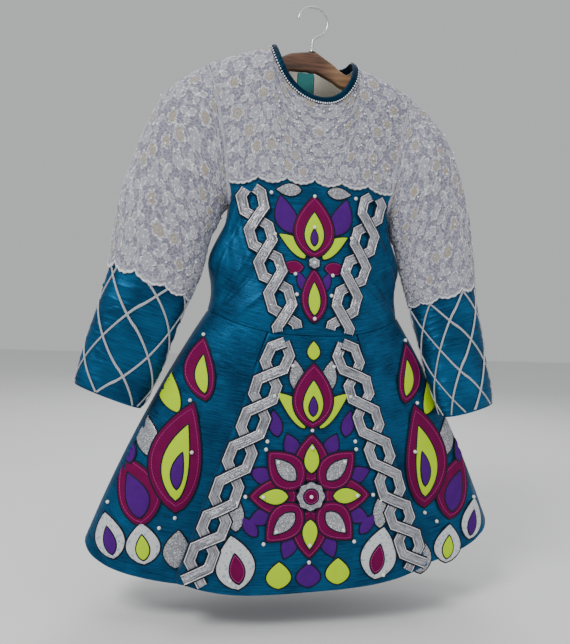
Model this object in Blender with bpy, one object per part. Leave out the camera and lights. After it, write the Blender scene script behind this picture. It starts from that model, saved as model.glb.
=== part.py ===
"""A girl's long-sleeved dance dress on a wooden hanger, in metres, +Z up, its front facing -Y.

The origin is the point inside the hanger's hook where a rail bears. Every cloth piece is a wall worked
out from named sizes: a base surface, moved out by a layer height and then by the cloth's thickness.
"""

import math

import bmesh
import bpy
import numpy as np
from mathutils import Vector

# Cloth and seams
SEAM_GAP = 0.0003
LAYER_GAP = 0.0006
SATIN = 0.0015
LACE = 0.0015
SLEEVE_CLOTH = 0.0012
SKIRT_CLOTH = 0.0025
LINING = 0.0010
LINING_LAYER = -0.0006
LINING_START = 0.215
LINING_END = 0.82
LINING_LOW_WIDTH = 0.085
LINING_LOW_Z = -0.200
LINING_BELOW_EDGE = 0.0012

# Neck, shoulders and the photo's slight hang to one side
NECK_HALF_WIDTH = 0.063
NECK_SIDE_Z = -0.0815
NECK_FRONT_Z = -0.154
NECK_BACK_DEPTH = 0.0390
NECK_BACK_SLOPE = 0.35
NECK_POWER = 2.1
NECK_ARCH = 0.040
NECK_ARCH_HALF = 0.075
NECK_BAND_WIDTH = 0.0095
NECK_BAND_THICKNESS = 0.0030
SHOULDER_DROP = 0.0292
SHOULDER_RUN = 0.087
SHOULDER_POWER = 1.35
SHOULDER_ROUND = 0.050
HANG_TILT = 0.0085
HANG_TILT_RUN = 0.050
HANG_TILT_FROM_Z = -0.300
HANG_TILT_FULL_Z = -0.150

# Bodice
BODY_POWER = 2.3
WAIST_CENTRE_Z = -0.479
WAIST_SIDE_Z = -0.449
WAIST_BACK_Z = -0.452
WAIST_HALF_WIDTH = 0.138
WAIST_POWER = 2.6
YOKE_EDGE_Z = -0.2620
YOKE_SCALLOPS = 6
YOKE_SCALLOP_DEPTH = 0.0075
YOKE_BACK_SCALLOPS = 3
YOKE_ROW_POWER = 1.3
BODICE_TOP_Z = -0.2520
BODICE_ROWS = 11
SIDE_SEAM_ROWS = 5
BACK_GAP_HALF = 0.0034
UNDERARM_Z = -0.300
UNDERARM_PINCH = 0.225
PINCH_POWER = 6.0

# height z, half width, depth of the front, depth of the back
BODY_SECTIONS = (
    (-0.490, 0.1390, 0.0740, 0.0580),
    (-0.449, 0.1380, 0.0720, 0.0560),
    (-0.425, 0.1340, 0.0680, 0.0540),
    (-0.385, 0.1400, 0.0610, 0.0520),
    (-0.340, 0.1420, 0.0540, 0.0500),
    (-0.300, 0.1430, 0.0490, 0.0480),
    (-0.250, 0.1460, 0.0450, 0.0460),
    (-0.200, 0.1500, 0.0430, 0.0450),
    (-0.155, 0.1530, 0.0420, 0.0430),
    (-0.040, 0.1560, 0.0400, 0.0400),
)
# armhole from the underarm to the shoulder: share of its length, share of the half width, height z
ARMHOLE = (
    (0.00, 1.000, UNDERARM_Z),
    (0.09, 0.985, -0.2995),
    (0.18, 0.915, -0.2965),
    (0.29, 0.835, -0.2860),
    (0.45, 0.810, -0.2600),
    (0.65, 0.842, -0.2050),
    (0.84, 0.889, -0.1500),
    (1.00, 0.954, -0.1099),
)
ARMHOLE_YOKE_SHARE = 0.40
ARMHOLE_BODICE_SHARE = 0.48
# soft creases that fan out from under each arm: angle from straight down, half angle, depth, reach
BODICE_CREASES = (
    (-8.0, 5.5, -0.0022, 0.150),
    (4.0, 5.0, -0.0030, 0.165),
    (15.0, 5.0, -0.0026, 0.150),
    (27.0, 5.5, -0.0024, 0.110),
)
CREASE_ORIGIN_X = 0.122
CREASE_ORIGIN_Z = -0.286

# Sleeves, by row: inner point x, z, y, outer point x, z, y, half depth, share turned from armhole to oval
LEFT_SLEEVE = (
    (0.1225, -0.3035, -0.0010, 0.1640, -0.1080, 0.0000, 0.036, 0.50),
    (0.1262, -0.3120, -0.0030, 0.1860, -0.1230, 0.0000, 0.037, 0.85),
    (0.1310, -0.3290, -0.0060, 0.2060, -0.1430, 0.0000, 0.038, 1.00),
    (0.1380, -0.3410, -0.0080, 0.2240, -0.1730, -0.0010, 0.037, 1.00),
    (0.1430, -0.3540, -0.0100, 0.2380, -0.2080, -0.0030, 0.036, 1.00),
    (0.1465, -0.3690, -0.0110, 0.2490, -0.2430, -0.0050, 0.035, 1.00),
    (0.1500, -0.3850, -0.0120, 0.2590, -0.2800, -0.0070, 0.034, 1.00),
    (0.1550, -0.4030, -0.0130, 0.2670, -0.3200, -0.0090, 0.033, 1.00),
    (0.1615, -0.4200, -0.0140, 0.2720, -0.3600, -0.0110, 0.032, 1.00),
    (0.1700, -0.4400, -0.0150, 0.2770, -0.4000, -0.0130, 0.031, 1.00),
    (0.1800, -0.4650, -0.0160, 0.2850, -0.4350, -0.0140, 0.030, 1.00),
    (0.1910, -0.4980, -0.0160, 0.2940, -0.4660, -0.0140, 0.029, 1.00),
    (0.2020, -0.5310, -0.0160, 0.3030, -0.4970, -0.0140, 0.028, 1.00),
    (0.2140, -0.5600, -0.0160, 0.3105, -0.5270, -0.0140, 0.027, 1.00),
    (0.2280, -0.5870, -0.0160, 0.3160, -0.5540, -0.0140, 0.025, 1.00),
)
RIGHT_SLEEVE = (
    (0.1225, -0.3035, -0.0010, 0.1620, -0.1240, 0.0000, 0.036, 0.50),
    (0.1262, -0.3130, -0.0030, 0.1810, -0.1410, 0.0000, 0.037, 0.85),
    (0.1300, -0.3310, -0.0060, 0.2000, -0.1630, 0.0000, 0.038, 1.00),
    (0.1365, -0.3440, -0.0080, 0.2160, -0.1880, -0.0010, 0.037, 1.00),
    (0.1415, -0.3590, -0.0100, 0.2280, -0.2180, -0.0030, 0.036, 1.00),
    (0.1455, -0.3745, -0.0110, 0.2370, -0.2520, -0.0050, 0.035, 1.00),
    (0.1495, -0.3900, -0.0120, 0.2450, -0.2900, -0.0070, 0.034, 1.00),
    (0.1540, -0.4050, -0.0130, 0.2510, -0.3300, -0.0090, 0.033, 1.00),
    (0.1585, -0.4200, -0.0140, 0.2560, -0.3690, -0.0110, 0.032, 1.00),
    (0.1635, -0.4370, -0.0150, 0.2590, -0.4060, -0.0130, 0.031, 1.00),
    (0.1690, -0.4650, -0.0220, 0.2640, -0.4400, -0.0180, 0.030, 1.00),
    (0.1750, -0.4960, -0.0300, 0.2695, -0.4740, -0.0220, 0.029, 1.00),
    (0.1820, -0.5290, -0.0380, 0.2750, -0.5080, -0.0260, 0.028, 1.00),
    (0.1890, -0.5590, -0.0480, 0.2810, -0.5420, -0.0300, 0.026, 1.00),
    (0.2000, -0.5900, -0.0550, 0.2860, -0.5710, -0.0320, 0.024, 1.00),
)
SLEEVE_POWER = 2.3
SLEEVE_LACE_END = 0.640
SLEEVE_CUFF_TOP = 0.615
SLEEVE_SCALLOPS = 10
SLEEVE_SCALLOP_DEPTH = 0.016
ARMHOLE_CLEARANCE = 0.0016
TIP_CLEARANCE = 0.0012
SLEEVE_GATHERS = 9
SLEEVE_GATHER_DEPTH = 0.0011

# Skirt
SKIRT_SEAM = 0.00045
SKIRT_LEVEL_SHARE = 0.14
HEM_CENTRE_Z = -0.819
HEM_PLEAT_RISE = 0.0235
HEM_PLEAT_POWER = 3.6
HEM_SIDE_Z = -0.760
HEM_SIDE_FALL = 0.062
HEM_BACK_FALL = 0.045
HEM_LEAN = 0.035
HEM_HALF_WIDTH = 0.2950
HEM_RING_FRONT = 0.060
HEM_RING_BACK = 0.086
HEM_RING_POWER = 2.6
SKIRT_BULGE = 0.010
PLEAT_WAIST_X = 0.060
PLEAT_HEM_X = 0.171
PANEL_PROUD = 0.032
PANEL_PROUD_POWER = 0.8
PLEAT_ROUND_WAIST = 0.0016
PLEAT_ROUND_HEM = 0.0080
PLEAT_TUCK = 0.014
PLEAT_BUTT = 0.0031
PLEAT_SLIDE = (0.125, 0.30)
RETURN_LEAST = 0.0008
RETURN_GAP = 0.0006
FACE_SHARE = 0.72
ROUND_SHARE = 0.86

# Raised silver braids: two strands that cross at each whole step
BRAID_SWING = 0.0132
STRAND_WIDTH = 0.0134
STRAND_LIFT = 0.0010
STRAND_EDGE = 0.0011
STRAND_CROWN = 0.0018
STRAND_OVER = 0.0026
# where a strand turns from its slant into its upright run, as a share of a step
STRAND_CORNER = 0.28
BRAID_STEPS = (0.0, 0.20, 0.28, 0.72, 0.80)
OVER_FULL = 0.21
OVER_NONE = 0.42
# bodice braid centre line, from its top: at each crossing, x and height z
BODICE_BRAID = (
    (0.0895, -0.2745), (0.0790, -0.3210), (0.0665, -0.3665), (0.0525, -0.4085), (0.0400, -0.4535), (0.0300, -0.4980),
)
BODICE_BRAID_SPAN = (0.12, 4.42)
# skirt braid centre line, from its top: at each crossing, share of the panel's height and of its half width
SKIRT_BRAID = (
    (0.031, 0.624), (0.160, 0.740), (0.285, 0.772), (0.422, 0.816), (0.557, 0.852), (0.695, 0.868), (0.817, 0.888),
    (0.945, 0.898), (1.070, 0.905),
)
SKIRT_BRAID_SPAN = (0.0, 7.28)

# Zip at the centre back
ZIP_TOP_Z = -0.0800
ZIP_BOTTOM_Z = -0.580
ZIP_TAPE_HALF = 0.0120
ZIP_TAPE_INSIDE = -0.0018
ZIP_TAPE_OUTSIDE = -0.0009
ZIP_CHAIN_HALF = 0.0022
ZIP_CHAIN_OUT = 0.0012
SLIDER_Z = -0.0960
SLIDER_LENGTH = 0.0100
SLIDER_HALF_WIDTH = 0.0027
SLIDER_IN = 0.0016
SLIDER_OUT = 0.0052
BAIL_HALF_WIDTH = 0.0009
BAIL_OUT = 0.0092
BAIL_WINDOW = (0.0054, 0.0080)
BAIL_HALF_LENGTH = 0.0036
PULL_AXIS_OUT = 0.0067
PULL_BAR_HALF = 0.0005
PULL_HALF_WIDTH = 0.0034
PULL_ARM_HALF = 0.0010
PULL_WINDOW = 0.0062
PULL_LENGTH = 0.0240

# Hanger
HANGER_HALF_SPAN = 0.126
HANGER_HALF_THICKNESS = 0.0060
HANGER_PEAK_Z = -0.0650
HANGER_FALL_RIGHT = 0.60
HANGER_FALL_LEFT = 0.18
HANGER_CREST_HALF = 0.006
HANGER_CENTRE_HEIGHT = 0.030
HANGER_END_HEIGHT = 0.016
HANGER_UNDER_NECK = 0.0085
HANGER_IN_SHOULDER = -0.0003
HANGER_RISE = (0.063, 0.086)
HOOK_RADIUS = 0.0220
HOOK_WIRE = 0.0018
HOOK_START = -60.0
HOOK_END = 176.0
HOOK_COLLAR_RADIUS = 0.0055
HOOK_COLLAR = 0.0020

COLOURS = {
    # name: red, green, blue, roughness, metallic
    "teal_satin": (0.010, 0.095, 0.165, 0.38, 0.0),
    "lace_white": (0.560, 0.555, 0.640, 0.75, 0.0),
    "lining_cream": (0.560, 0.530, 0.450, 0.80, 0.0),
    "navy_band": (0.008, 0.060, 0.110, 0.45, 0.0),
    "silver_cloth": (0.420, 0.410, 0.440, 0.40, 0.2),
    "zip_teal": (0.020, 0.200, 0.210, 0.60, 0.0),
    "zip_metal": (0.500, 0.510, 0.520, 0.30, 1.0),
    "hanger_wood": (0.160, 0.075, 0.035, 0.50, 0.0),
    "hook_steel": (0.620, 0.620, 0.620, 0.25, 1.0),
}


def clear_scene():
    for thing in list(bpy.data.objects):
        bpy.data.objects.remove(thing, do_unlink=True)


def material(name):
    red, green, blue, roughness, metallic = COLOURS[name]
    made = bpy.data.materials.get(name) or bpy.data.materials.new(name)
    made.use_nodes = True
    shader = made.node_tree.nodes["Principled BSDF"]
    shader.inputs["Base Color"].default_value = (red, green, blue, 1.0)
    shader.inputs["Roughness"].default_value = roughness
    shader.inputs["Metallic"].default_value = metallic
    return made


def add_solid(name, points, faces, finish, smooth=True):
    """One closed mesh, its faces turned outwards, as an object of its own."""
    mesh = bpy.data.meshes.new(name)
    mesh.from_pydata([tuple(float(c) for c in p) for p in points], [], [tuple(f) for f in faces])
    work = bmesh.new()
    work.from_mesh(mesh)
    bmesh.ops.recalc_face_normals(work, faces=work.faces[:])
    work.to_mesh(mesh)
    work.free()
    made = bpy.data.objects.new(name, mesh)
    bpy.context.scene.collection.objects.link(made)
    mesh.materials.append(material(finish))
    if smooth:
        mesh.shade_smooth()
        mesh.set_sharp_from_angle(angle=math.radians(40))
    return made


def smooth_step(value, low, high):
    share = np.clip((value - low) / (high - low), 0.0, 1.0)
    return share * share * (3.0 - 2.0 * share)


def column(table, index):
    return np.array([row[index] for row in table])


def smooth_table(value, table, key, index):
    """A smooth curve through a table's rows: a cubic with the slopes of neighbouring rows."""
    keys, values = column(table, key), column(table, index)
    if keys[0] > keys[-1]:
        keys, values = keys[::-1], values[::-1]
    slopes = np.gradient(values, keys)
    value = np.clip(value, keys[0], keys[-1])
    spot = np.clip(np.searchsorted(keys, value) - 1, 0, len(keys) - 2)
    step = keys[spot + 1] - keys[spot]
    share = (value - keys[spot]) / step
    return (
        (2 * share**3 - 3 * share**2 + 1) * values[spot]
        + (share**3 - 2 * share**2 + share) * step * slopes[spot]
        + (3 * share**2 - 2 * share**3) * values[spot + 1]
        + (share**3 - share**2) * step * slopes[spot + 1]
    )


def ridge_height(x):
    """Height of the shoulder ridge, arched over the neck and falling to the shoulder tips."""
    out = np.clip((np.abs(x) - NECK_HALF_WIDTH) / SHOULDER_RUN, 0.0, None)
    arch = NECK_ARCH * np.clip(1.0 - (x / NECK_ARCH_HALF) ** 2, 0.0, None) ** 2
    return NECK_SIDE_Z + arch - SHOULDER_DROP * out**SHOULDER_POWER


def hang_tilt(x, z):
    """How far the hanging shoulders lean: the left side up and the right side down."""
    return -HANG_TILT * np.tanh(x / HANG_TILT_RUN) * smooth_step(z, HANG_TILT_FROM_Z, HANG_TILT_FULL_Z)


def crease_depth(x, z):
    """Soft creases that fan out below each arm, deepest in mid length and fading at both ends."""
    away = CREASE_ORIGIN_X - np.abs(x)
    down = CREASE_ORIGIN_Z - z
    reach_now = np.hypot(away, down)
    angle = np.degrees(np.arctan2(away, down))
    total = np.zeros_like(x)
    for middle, half, depth, reach in BODICE_CREASES:
        across = np.exp(-(((angle - middle) / half) ** 2))
        along = smooth_step(reach_now, 0.022, 0.060) * (1.0 - smooth_step(reach_now, 0.75 * reach, reach))
        total = total + depth * across * along
    return total


def pinch(z):
    """How far the body's sides are drawn in below the underarm, where the sleeve hangs in front."""
    below = smooth_step(-z, 0.300, 0.385)
    above = smooth_step(z, -0.298, -0.268)
    return UNDERARM_PINCH * (1.0 - below) * (1.0 - above)


def body_spot(share, z, front=True, creased=True):
    """A point of the body by its share of the half width and its height: a superellipse in plan."""
    share, z = np.broadcast_arrays(np.asarray(share, float), np.asarray(z, float))
    size = np.clip(np.abs(share), 0.0, 1.0)
    width = smooth_table(z, BODY_SECTIONS, 0, 1)
    depth = smooth_table(z, BODY_SECTIONS, 0, 2 if front else 3)
    x = np.sign(share) * size * width * (1.0 - pinch(z) * size**PINCH_POWER)
    below = np.clip((ridge_height(x) - z) / SHOULDER_ROUND, 0.0, 1.0)
    closing = np.sqrt(np.clip(1.0 - (1.0 - below) ** 2, 0.0, 1.0))
    rounding = np.clip(1.0 - size**BODY_POWER, 0.0, 1.0) ** (1.0 / BODY_POWER)
    y = depth * closing * rounding
    if front and creased:
        y = y + crease_depth(x, z) * smooth_step(rounding, 0.10, 0.45)
    return np.stack([x, -y if front else y, z + hang_tilt(x, z)], axis=-1)


def body_point(x, z, front=True, creased=True):
    """The same point found by x and height."""
    x, z = np.broadcast_arrays(np.asarray(x, float), np.asarray(z, float))
    width = smooth_table(z, BODY_SECTIONS, 0, 1)
    share = np.clip(np.abs(x) / width, 0.0, 1.0)
    for _ in range(8):
        share = np.clip(np.abs(x) / (width * (1.0 - pinch(z) * share**PINCH_POWER)), 0.0, 1.0)
    return body_spot(np.sign(x) * share, z, front, creased)


def surface_normals(point, u, v, step=1e-3):
    """Unit normals of a surface function, from its two slopes."""
    along_u = point(np.clip(u + step, 0, 1), v) - point(np.clip(u - step, 0, 1), v)
    along_v = point(u, np.clip(v + step, 0, 1)) - point(u, np.clip(v - step, 0, 1))
    normal = np.cross(along_u, along_v)
    return normal / np.maximum(np.linalg.norm(normal, axis=-1, keepdims=True), 1e-12)


def grid_faces(rows, columns, start, closed):
    """Quads between the rows and columns of a grid whose points begin at start."""
    faces = []
    last = columns if closed else columns - 1
    for r in range(rows - 1):
        for c in range(last):
            d = (c + 1) % columns
            faces.append((start + r * columns + c, start + r * columns + d,
                          start + (r + 1) * columns + d, start + (r + 1) * columns + c))
    return faces


def stitch(fine, coarse, closed=False):
    """Triangles that join a fine edge to a coarse one, each coarse step meeting several fine steps."""
    faces = []
    fine_steps = len(fine) if closed else len(fine) - 1
    coarse_steps = len(coarse) if closed else len(coarse) - 1
    ratio = fine_steps // coarse_steps
    for c in range(coarse_steps):
        here, there = coarse[c], coarse[(c + 1) % len(coarse)]
        middle = ratio // 2
        for k in range(ratio):
            a, b = fine[c * ratio + k], fine[(c * ratio + k + 1) % len(fine)]
            faces.append((here if k < middle else there, a, b))
        faces.append((here, fine[(c * ratio + middle) % len(fine)], there))
    return faces


def cloth_wall(name, point, shape, cloth, finish, layer=0.0, closed=False, coarser=(1, 1),
               outward=1.0, relief=None, level_top=0.0, level_low=0.0):
    """A wall of cloth: the surface point(u, v) moved out to its layer, and again by its thickness.

    shape is the number of steps across and down, and coarser says how many of them the plain inside
    joins into one. relief(u, v) raises the outer points alone. level_top keeps the normals level in
    that share of the height below the top edge, so that an edge meets its neighbour square.
    """
    across, down = shape
    sides = []
    for step_u, step_v, rise in ((1, 1, cloth), (coarser[0], coarser[1], 0.0)):
        columns = across // step_u + (0 if closed else 1)
        u = np.arange(columns) * step_u / across
        v = np.arange(down // step_v + 1) * step_v / down
        grid_u, grid_v = np.meshgrid(u, v)
        base = point(grid_u, grid_v)
        if closed:
            normal = closed_normals(base, point, grid_u, grid_v)
        else:
            normal = surface_normals(point, grid_u, grid_v)
        normal = normal * outward
        if level_top or level_low:
            flat = smooth_step(grid_v, 0.0, level_top or level_low)
            normal[..., 2] *= flat
            normal /= np.linalg.norm(normal, axis=-1, keepdims=True)
        lift = (layer(grid_u, grid_v) if callable(layer) else layer) + rise
        if relief is not None and rise:
            lift = lift + relief(grid_u, grid_v)
        moved = base + normal * (lift[..., None] if isinstance(lift, np.ndarray) else lift)
        sides.append((moved.reshape(-1, 3), len(v), columns))
    (outer, rows_out, cols_out), (inner, rows_in, cols_in) = sides
    start = len(outer)
    faces = grid_faces(rows_out, cols_out, 0, closed)
    faces += grid_faces(rows_in, cols_in, start, closed)
    top_out, top_in = list(range(cols_out)), [start + c for c in range(cols_in)]
    low_out = [(rows_out - 1) * cols_out + c for c in range(cols_out)]
    low_in = [start + (rows_in - 1) * cols_in + c for c in range(cols_in)]
    faces += stitch(top_out, top_in, closed) + stitch(low_out, low_in, closed)
    if not closed:
        for edge_out, edge_in in ((0, 0), (cols_out - 1, cols_in - 1)):
            faces += stitch([r * cols_out + edge_out for r in range(rows_out)],
                            [start + r * cols_in + edge_in for r in range(rows_in)])
    return add_solid(name, np.concatenate([outer, inner]), faces, finish)


def closed_normals(base, point, grid_u, grid_v, step=1e-3):
    """Normals of a tube: its first and last columns are neighbours."""
    along_u = point((grid_u + step) % 1.0, grid_v) - point((grid_u - step) % 1.0, grid_v)
    along_v = point(grid_u, np.clip(grid_v + step, 0, 1)) - point(grid_u, np.clip(grid_v - step, 0, 1))
    normal = np.cross(along_u, along_v)
    normal /= np.maximum(np.linalg.norm(normal, axis=-1, keepdims=True), 1e-12)
    centre = base.mean(axis=1, keepdims=True)
    facing = np.sign(np.sum(normal * (base - centre), axis=-1).sum())
    return normal * facing


# Bodice, yoke and lining


def waist_height(x, front=True):
    """The waist seam dips to the centre of the front and runs nearly level round the back."""
    low = WAIST_CENTRE_Z if front else WAIST_BACK_Z
    return low + (WAIST_SIDE_Z - low) * np.clip(np.abs(x) / WAIST_HALF_WIDTH, 0.0, 1.0) ** WAIST_POWER


def neck_curve(across, inside, front=True):
    """The neckline, inside metres within its edge. across runs from -1 to 1.

    In front it is half a superellipse that hangs low. Behind, its depth from front to back is set, and
    its height is where the shoulder's rounding has that depth.
    """
    half = NECK_HALF_WIDTH - 0.90 * inside
    size = np.clip(np.abs(across), 0.0, 1.0)
    x = half * across
    if front:
        side = ridge_height(half)
        bottom = NECK_FRONT_Z + inside
        return x, side + (bottom - side) * (1.0 - size**NECK_POWER) ** (1.0 / NECK_POWER)
    depth = (NECK_BACK_DEPTH - NECK_BACK_SLOPE * inside) * (1.0 - size**2) ** 0.45
    width, full = smooth_table(-0.075, BODY_SECTIONS, 0, 1), smooth_table(-0.075, BODY_SECTIONS, 0, 3)
    rounding = (1.0 - (np.abs(x) / width) ** BODY_POWER) ** (1.0 / BODY_POWER)
    closing = np.clip(depth / (full * rounding), 0.0, 1.0)
    return x, ridge_height(x) - SHOULDER_ROUND * (1.0 - np.sqrt(1.0 - closing**2))


def armhole_spot(share):
    share = np.clip(share, 0.0, 1.0)
    return smooth_table(share, ARMHOLE, 0, 1), smooth_table(share, ARMHOLE, 0, 2)


def lower_body(across, v, front):
    """Bodice panel from the waist to its top edge: its side climbs the seam, then the armhole."""
    seam = SIDE_SEAM_ROWS / BODICE_ROWS
    arm_share = np.where(v < seam, 0.0, ARMHOLE_BODICE_SHARE * (v - seam) / (1.0 - seam))
    arm_width, arm_z = armhole_spot(arm_share)
    seam_z = WAIST_SIDE_Z + (UNDERARM_Z - WAIST_SIDE_Z) * np.clip(v / seam, 0.0, 1.0)
    side_share = np.where(v < seam, 1.0, arm_width)
    side_z = np.where(v < seam, seam_z, arm_z)
    share = np.sin(across * np.arcsin(side_share))
    low = waist_height(WAIST_HALF_WIDTH * share, front)
    middle_z = low + (BODICE_TOP_Z - low) * v
    pull = np.abs(across) ** 4
    side_low = WAIST_SIDE_Z + (BODICE_TOP_Z - WAIST_SIDE_Z) * v
    z = middle_z + (side_z - side_low) * pull
    return body_spot(share, z, front)


def scallops(across, count, depth):
    """A scalloped edge: rounded lobes that hang between sharp notches."""
    wave = np.abs(np.sin(np.pi * count * across))
    return -depth * wave**0.75


def upper_body(across, v, front, lobes):
    """Yoke panel from its scalloped edge to the neckline and the shoulder ridge."""
    arm_share, side_z = armhole_spot(ARMHOLE_YOKE_SHARE + (1.0 - ARMHOLE_YOKE_SHARE) * v)
    tip_share, tip_z = armhole_spot(np.array(1.0))
    low_z = armhole_spot(np.array(ARMHOLE_YOKE_SHARE))[1]
    tip_x = tip_share * smooth_table(tip_z, BODY_SECTIONS, 0, 1)
    size = np.abs(across)
    neck_part = 0.50
    turn = np.clip(size / neck_part, 0.0, 1.0) * np.pi / 2
    neck_x, neck_z = neck_curve(np.sin(turn), 0.0, front)
    shoulder_x = NECK_HALF_WIDTH + (tip_x - NECK_HALF_WIDTH) * np.clip((size - neck_part) / neck_part, 0, 1)
    in_neck = size < neck_part
    top_x = np.where(in_neck, neck_x, shoulder_x)
    top_z = np.where(in_neck, neck_z, ridge_height(shoulder_x) - 0.00005)
    top_share = top_x / smooth_table(top_z, BODY_SECTIONS, 0, 1)
    part = size * (1.0 - v) + top_share / tip_share * v
    bottom_z = YOKE_EDGE_Z + (low_z - YOKE_EDGE_Z) * size**6
    z = bottom_z + (top_z - bottom_z) * v
    z = z + (side_z - (low_z + (tip_z - low_z) * v)) * size**5
    z = z + lobes(across) * (1.0 - v) ** 6
    return body_spot(np.sign(across) * part * arm_share, z, front, creased=False)


def front_lobes(across):
    return scallops((across + 1.0) / 2.0, YOKE_SCALLOPS, YOKE_SCALLOP_DEPTH)


def back_lobes(across):
    return scallops(np.abs(across), YOKE_BACK_SCALLOPS, YOKE_SCALLOP_DEPTH)


def seamed(spot, front):
    """Half a seam's gap kept between the front and the back."""
    y = spot[..., 1]
    half = SEAM_GAP / 2
    spot[..., 1] = np.minimum(y, -half) if front else np.maximum(y, half)
    return spot


def back_across(u, side):
    """From the zip's edge to the side of one half of the back."""
    start = BACK_GAP_HALF / 0.140
    return side * (start + (1.0 - start) * u)


def make_bodice():
    def front(u, v):
        return seamed(lower_body(2.0 * u - 1.0, v, True), True)

    def yoke(u, v):
        return seamed(upper_body(2.0 * u - 1.0, 1.0 - (1.0 - v) ** YOKE_ROW_POWER, True, front_lobes), True)

    cloth_wall("bodice_front", front, (28, BODICE_ROWS), SATIN, "teal_satin", level_low=0.08)
    cloth_wall("yoke_front", yoke, (42, 8), LACE, "lace_white", layer=SATIN + LAYER_GAP)
    for side, word in ((-1.0, "left"), (1.0, "right")):
        def back(u, v, side=side):
            return seamed(lower_body(back_across(u, side), v, False), False)

        def back_yoke(u, v, side=side):
            rise = 1.0 - (1.0 - v) ** YOKE_ROW_POWER
            return seamed(upper_body(back_across(u, side), rise, False, back_lobes), False)

        def lining(u, v, side=side):
            x, z = neck_curve(LINING_START + (LINING_END - LINING_START) * u, 0.0, False)
            low_x = NECK_HALF_WIDTH * LINING_START + LINING_LOW_WIDTH * u
            high_z = z - LINING_BELOW_EDGE
            return body_point(side * (x + (low_x - x) * v), high_z + (LINING_LOW_Z - high_z) * v, False)

        cloth_wall(f"bodice_back_{word}", back, (12, BODICE_ROWS), SATIN, "teal_satin", outward=-side,
                   level_low=0.08)
        cloth_wall(f"yoke_back_{word}", back_yoke, (18, 7), LACE, "lace_white",
                   layer=SATIN + LAYER_GAP, outward=-side)
        cloth_wall(f"lining_back_{word}", lining, (4, 4), LINING, "lining_cream", layer=LINING_LAYER,
                   outward=side)


def make_binding():
    """The neck binding: a padded strip that stands inside the yoke's edge, open over the zip."""

    def strip(u, v):
        turn = np.pi + 0.016 + (2.0 * np.pi - 0.032) * u
        across = np.sin(turn)
        front = np.cos(turn) > 0
        inside = 0.0006 + NECK_BAND_WIDTH * v
        x_front, z_front = neck_curve(across, inside, True)
        x_back, z_back = neck_curve(across, inside, False)
        ahead = body_point(x_front, z_front, True, creased=False)
        behind = body_point(x_back, z_back, False)
        return np.where(front[..., None], ahead, behind)

    cloth_wall("neck_binding", strip, (48, 2), NECK_BAND_THICKNESS, "navy_band",
               layer=SATIN + LAYER_GAP)


# Sleeves


def armhole_ring(turn, side):
    """The sleeve's first ring, just clear of the armhole's edge, from the underarm round by the front."""
    front = turn < 0.5
    share = 1.0 - np.abs(1.0 - 2.0 * turn)
    share = share - 0.09 * np.sin(2.0 * np.pi * share)
    middle = SATIN / 2 + (SATIN / 2 + LAYER_GAP + LACE / 2) * smooth_step(share, 0.34, 0.46)
    rings = []
    for way in (True, False):
        def edge(position, inward=0.0, drop=0.0, way=way):
            width, z = armhole_spot(np.clip(position, 0.0, 1.0))
            return body_spot(side * width * (1.0 - inward), z - drop, way, creased=False)

        here = edge(share)
        along = edge(share + 0.01) - edge(share - 0.01)
        within = edge(share, 0.10, 0.02) - here
        normal = np.cross(edge(share, 0.01) - here, edge(share, 0.0, 0.001) - here)
        normal /= np.linalg.norm(normal, axis=-1, keepdims=True)
        lean = normal[..., 0:1] * side + normal[..., 1:2] * (-0.7 if way else 0.7) + normal[..., 2:3]
        normal = normal * np.where(lean < 0, -1.0, 1.0)
        normal[..., 1] *= 1.0 - np.clip(share, 0, 1) ** 12
        away = np.cross(along, normal)
        away /= np.linalg.norm(away, axis=-1, keepdims=True)
        away = away * -np.sign(np.sum(away * within, axis=-1, keepdims=True))
        moved = here + away * ARMHOLE_CLEARANCE + normal * middle[..., None]
        moved[..., 0] += side * TIP_CLEARANCE * share**8
        rings.append(moved)
    return np.where(front[..., None], rings[0], rings[1])


def sleeve_point(turn, v, table, side):
    """The sleeve's middle surface: v runs from the armhole at 0 to the cuff at 1."""
    rows = len(table)
    key = np.clip(v, 0.0, 1.0) * rows
    listed = tuple((index + 1.0,) + tuple(row) for index, row in enumerate(table))
    inner = [smooth_table(key, listed, 0, c) for c in (1, 2, 3)]
    outer = [smooth_table(key, listed, 0, c) for c in (4, 5, 6)]
    half_depth = smooth_table(key, listed, 0, 7)
    turned = np.where(key < 1.0, listed[0][8] * key, smooth_table(key, listed, 0, 8))
    angle = 2.0 * np.pi * turn
    fore = np.sign(np.cos(angle)) * np.abs(np.cos(angle)) ** (2.0 / SLEEVE_POWER)
    out = np.sign(np.sin(angle)) * np.abs(np.sin(angle)) ** (2.0 / SLEEVE_POWER)
    x, z, y = [(i + o) / 2 - (o - i) / 2 * fore for i, o in zip(inner, outer)]
    oval = np.stack([side * x, y - half_depth * out, z], axis=-1)
    ring = armhole_ring(turn, side)
    return ring + (oval - ring) * np.clip(turned, 0.0, 1.0)[..., None]


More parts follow.
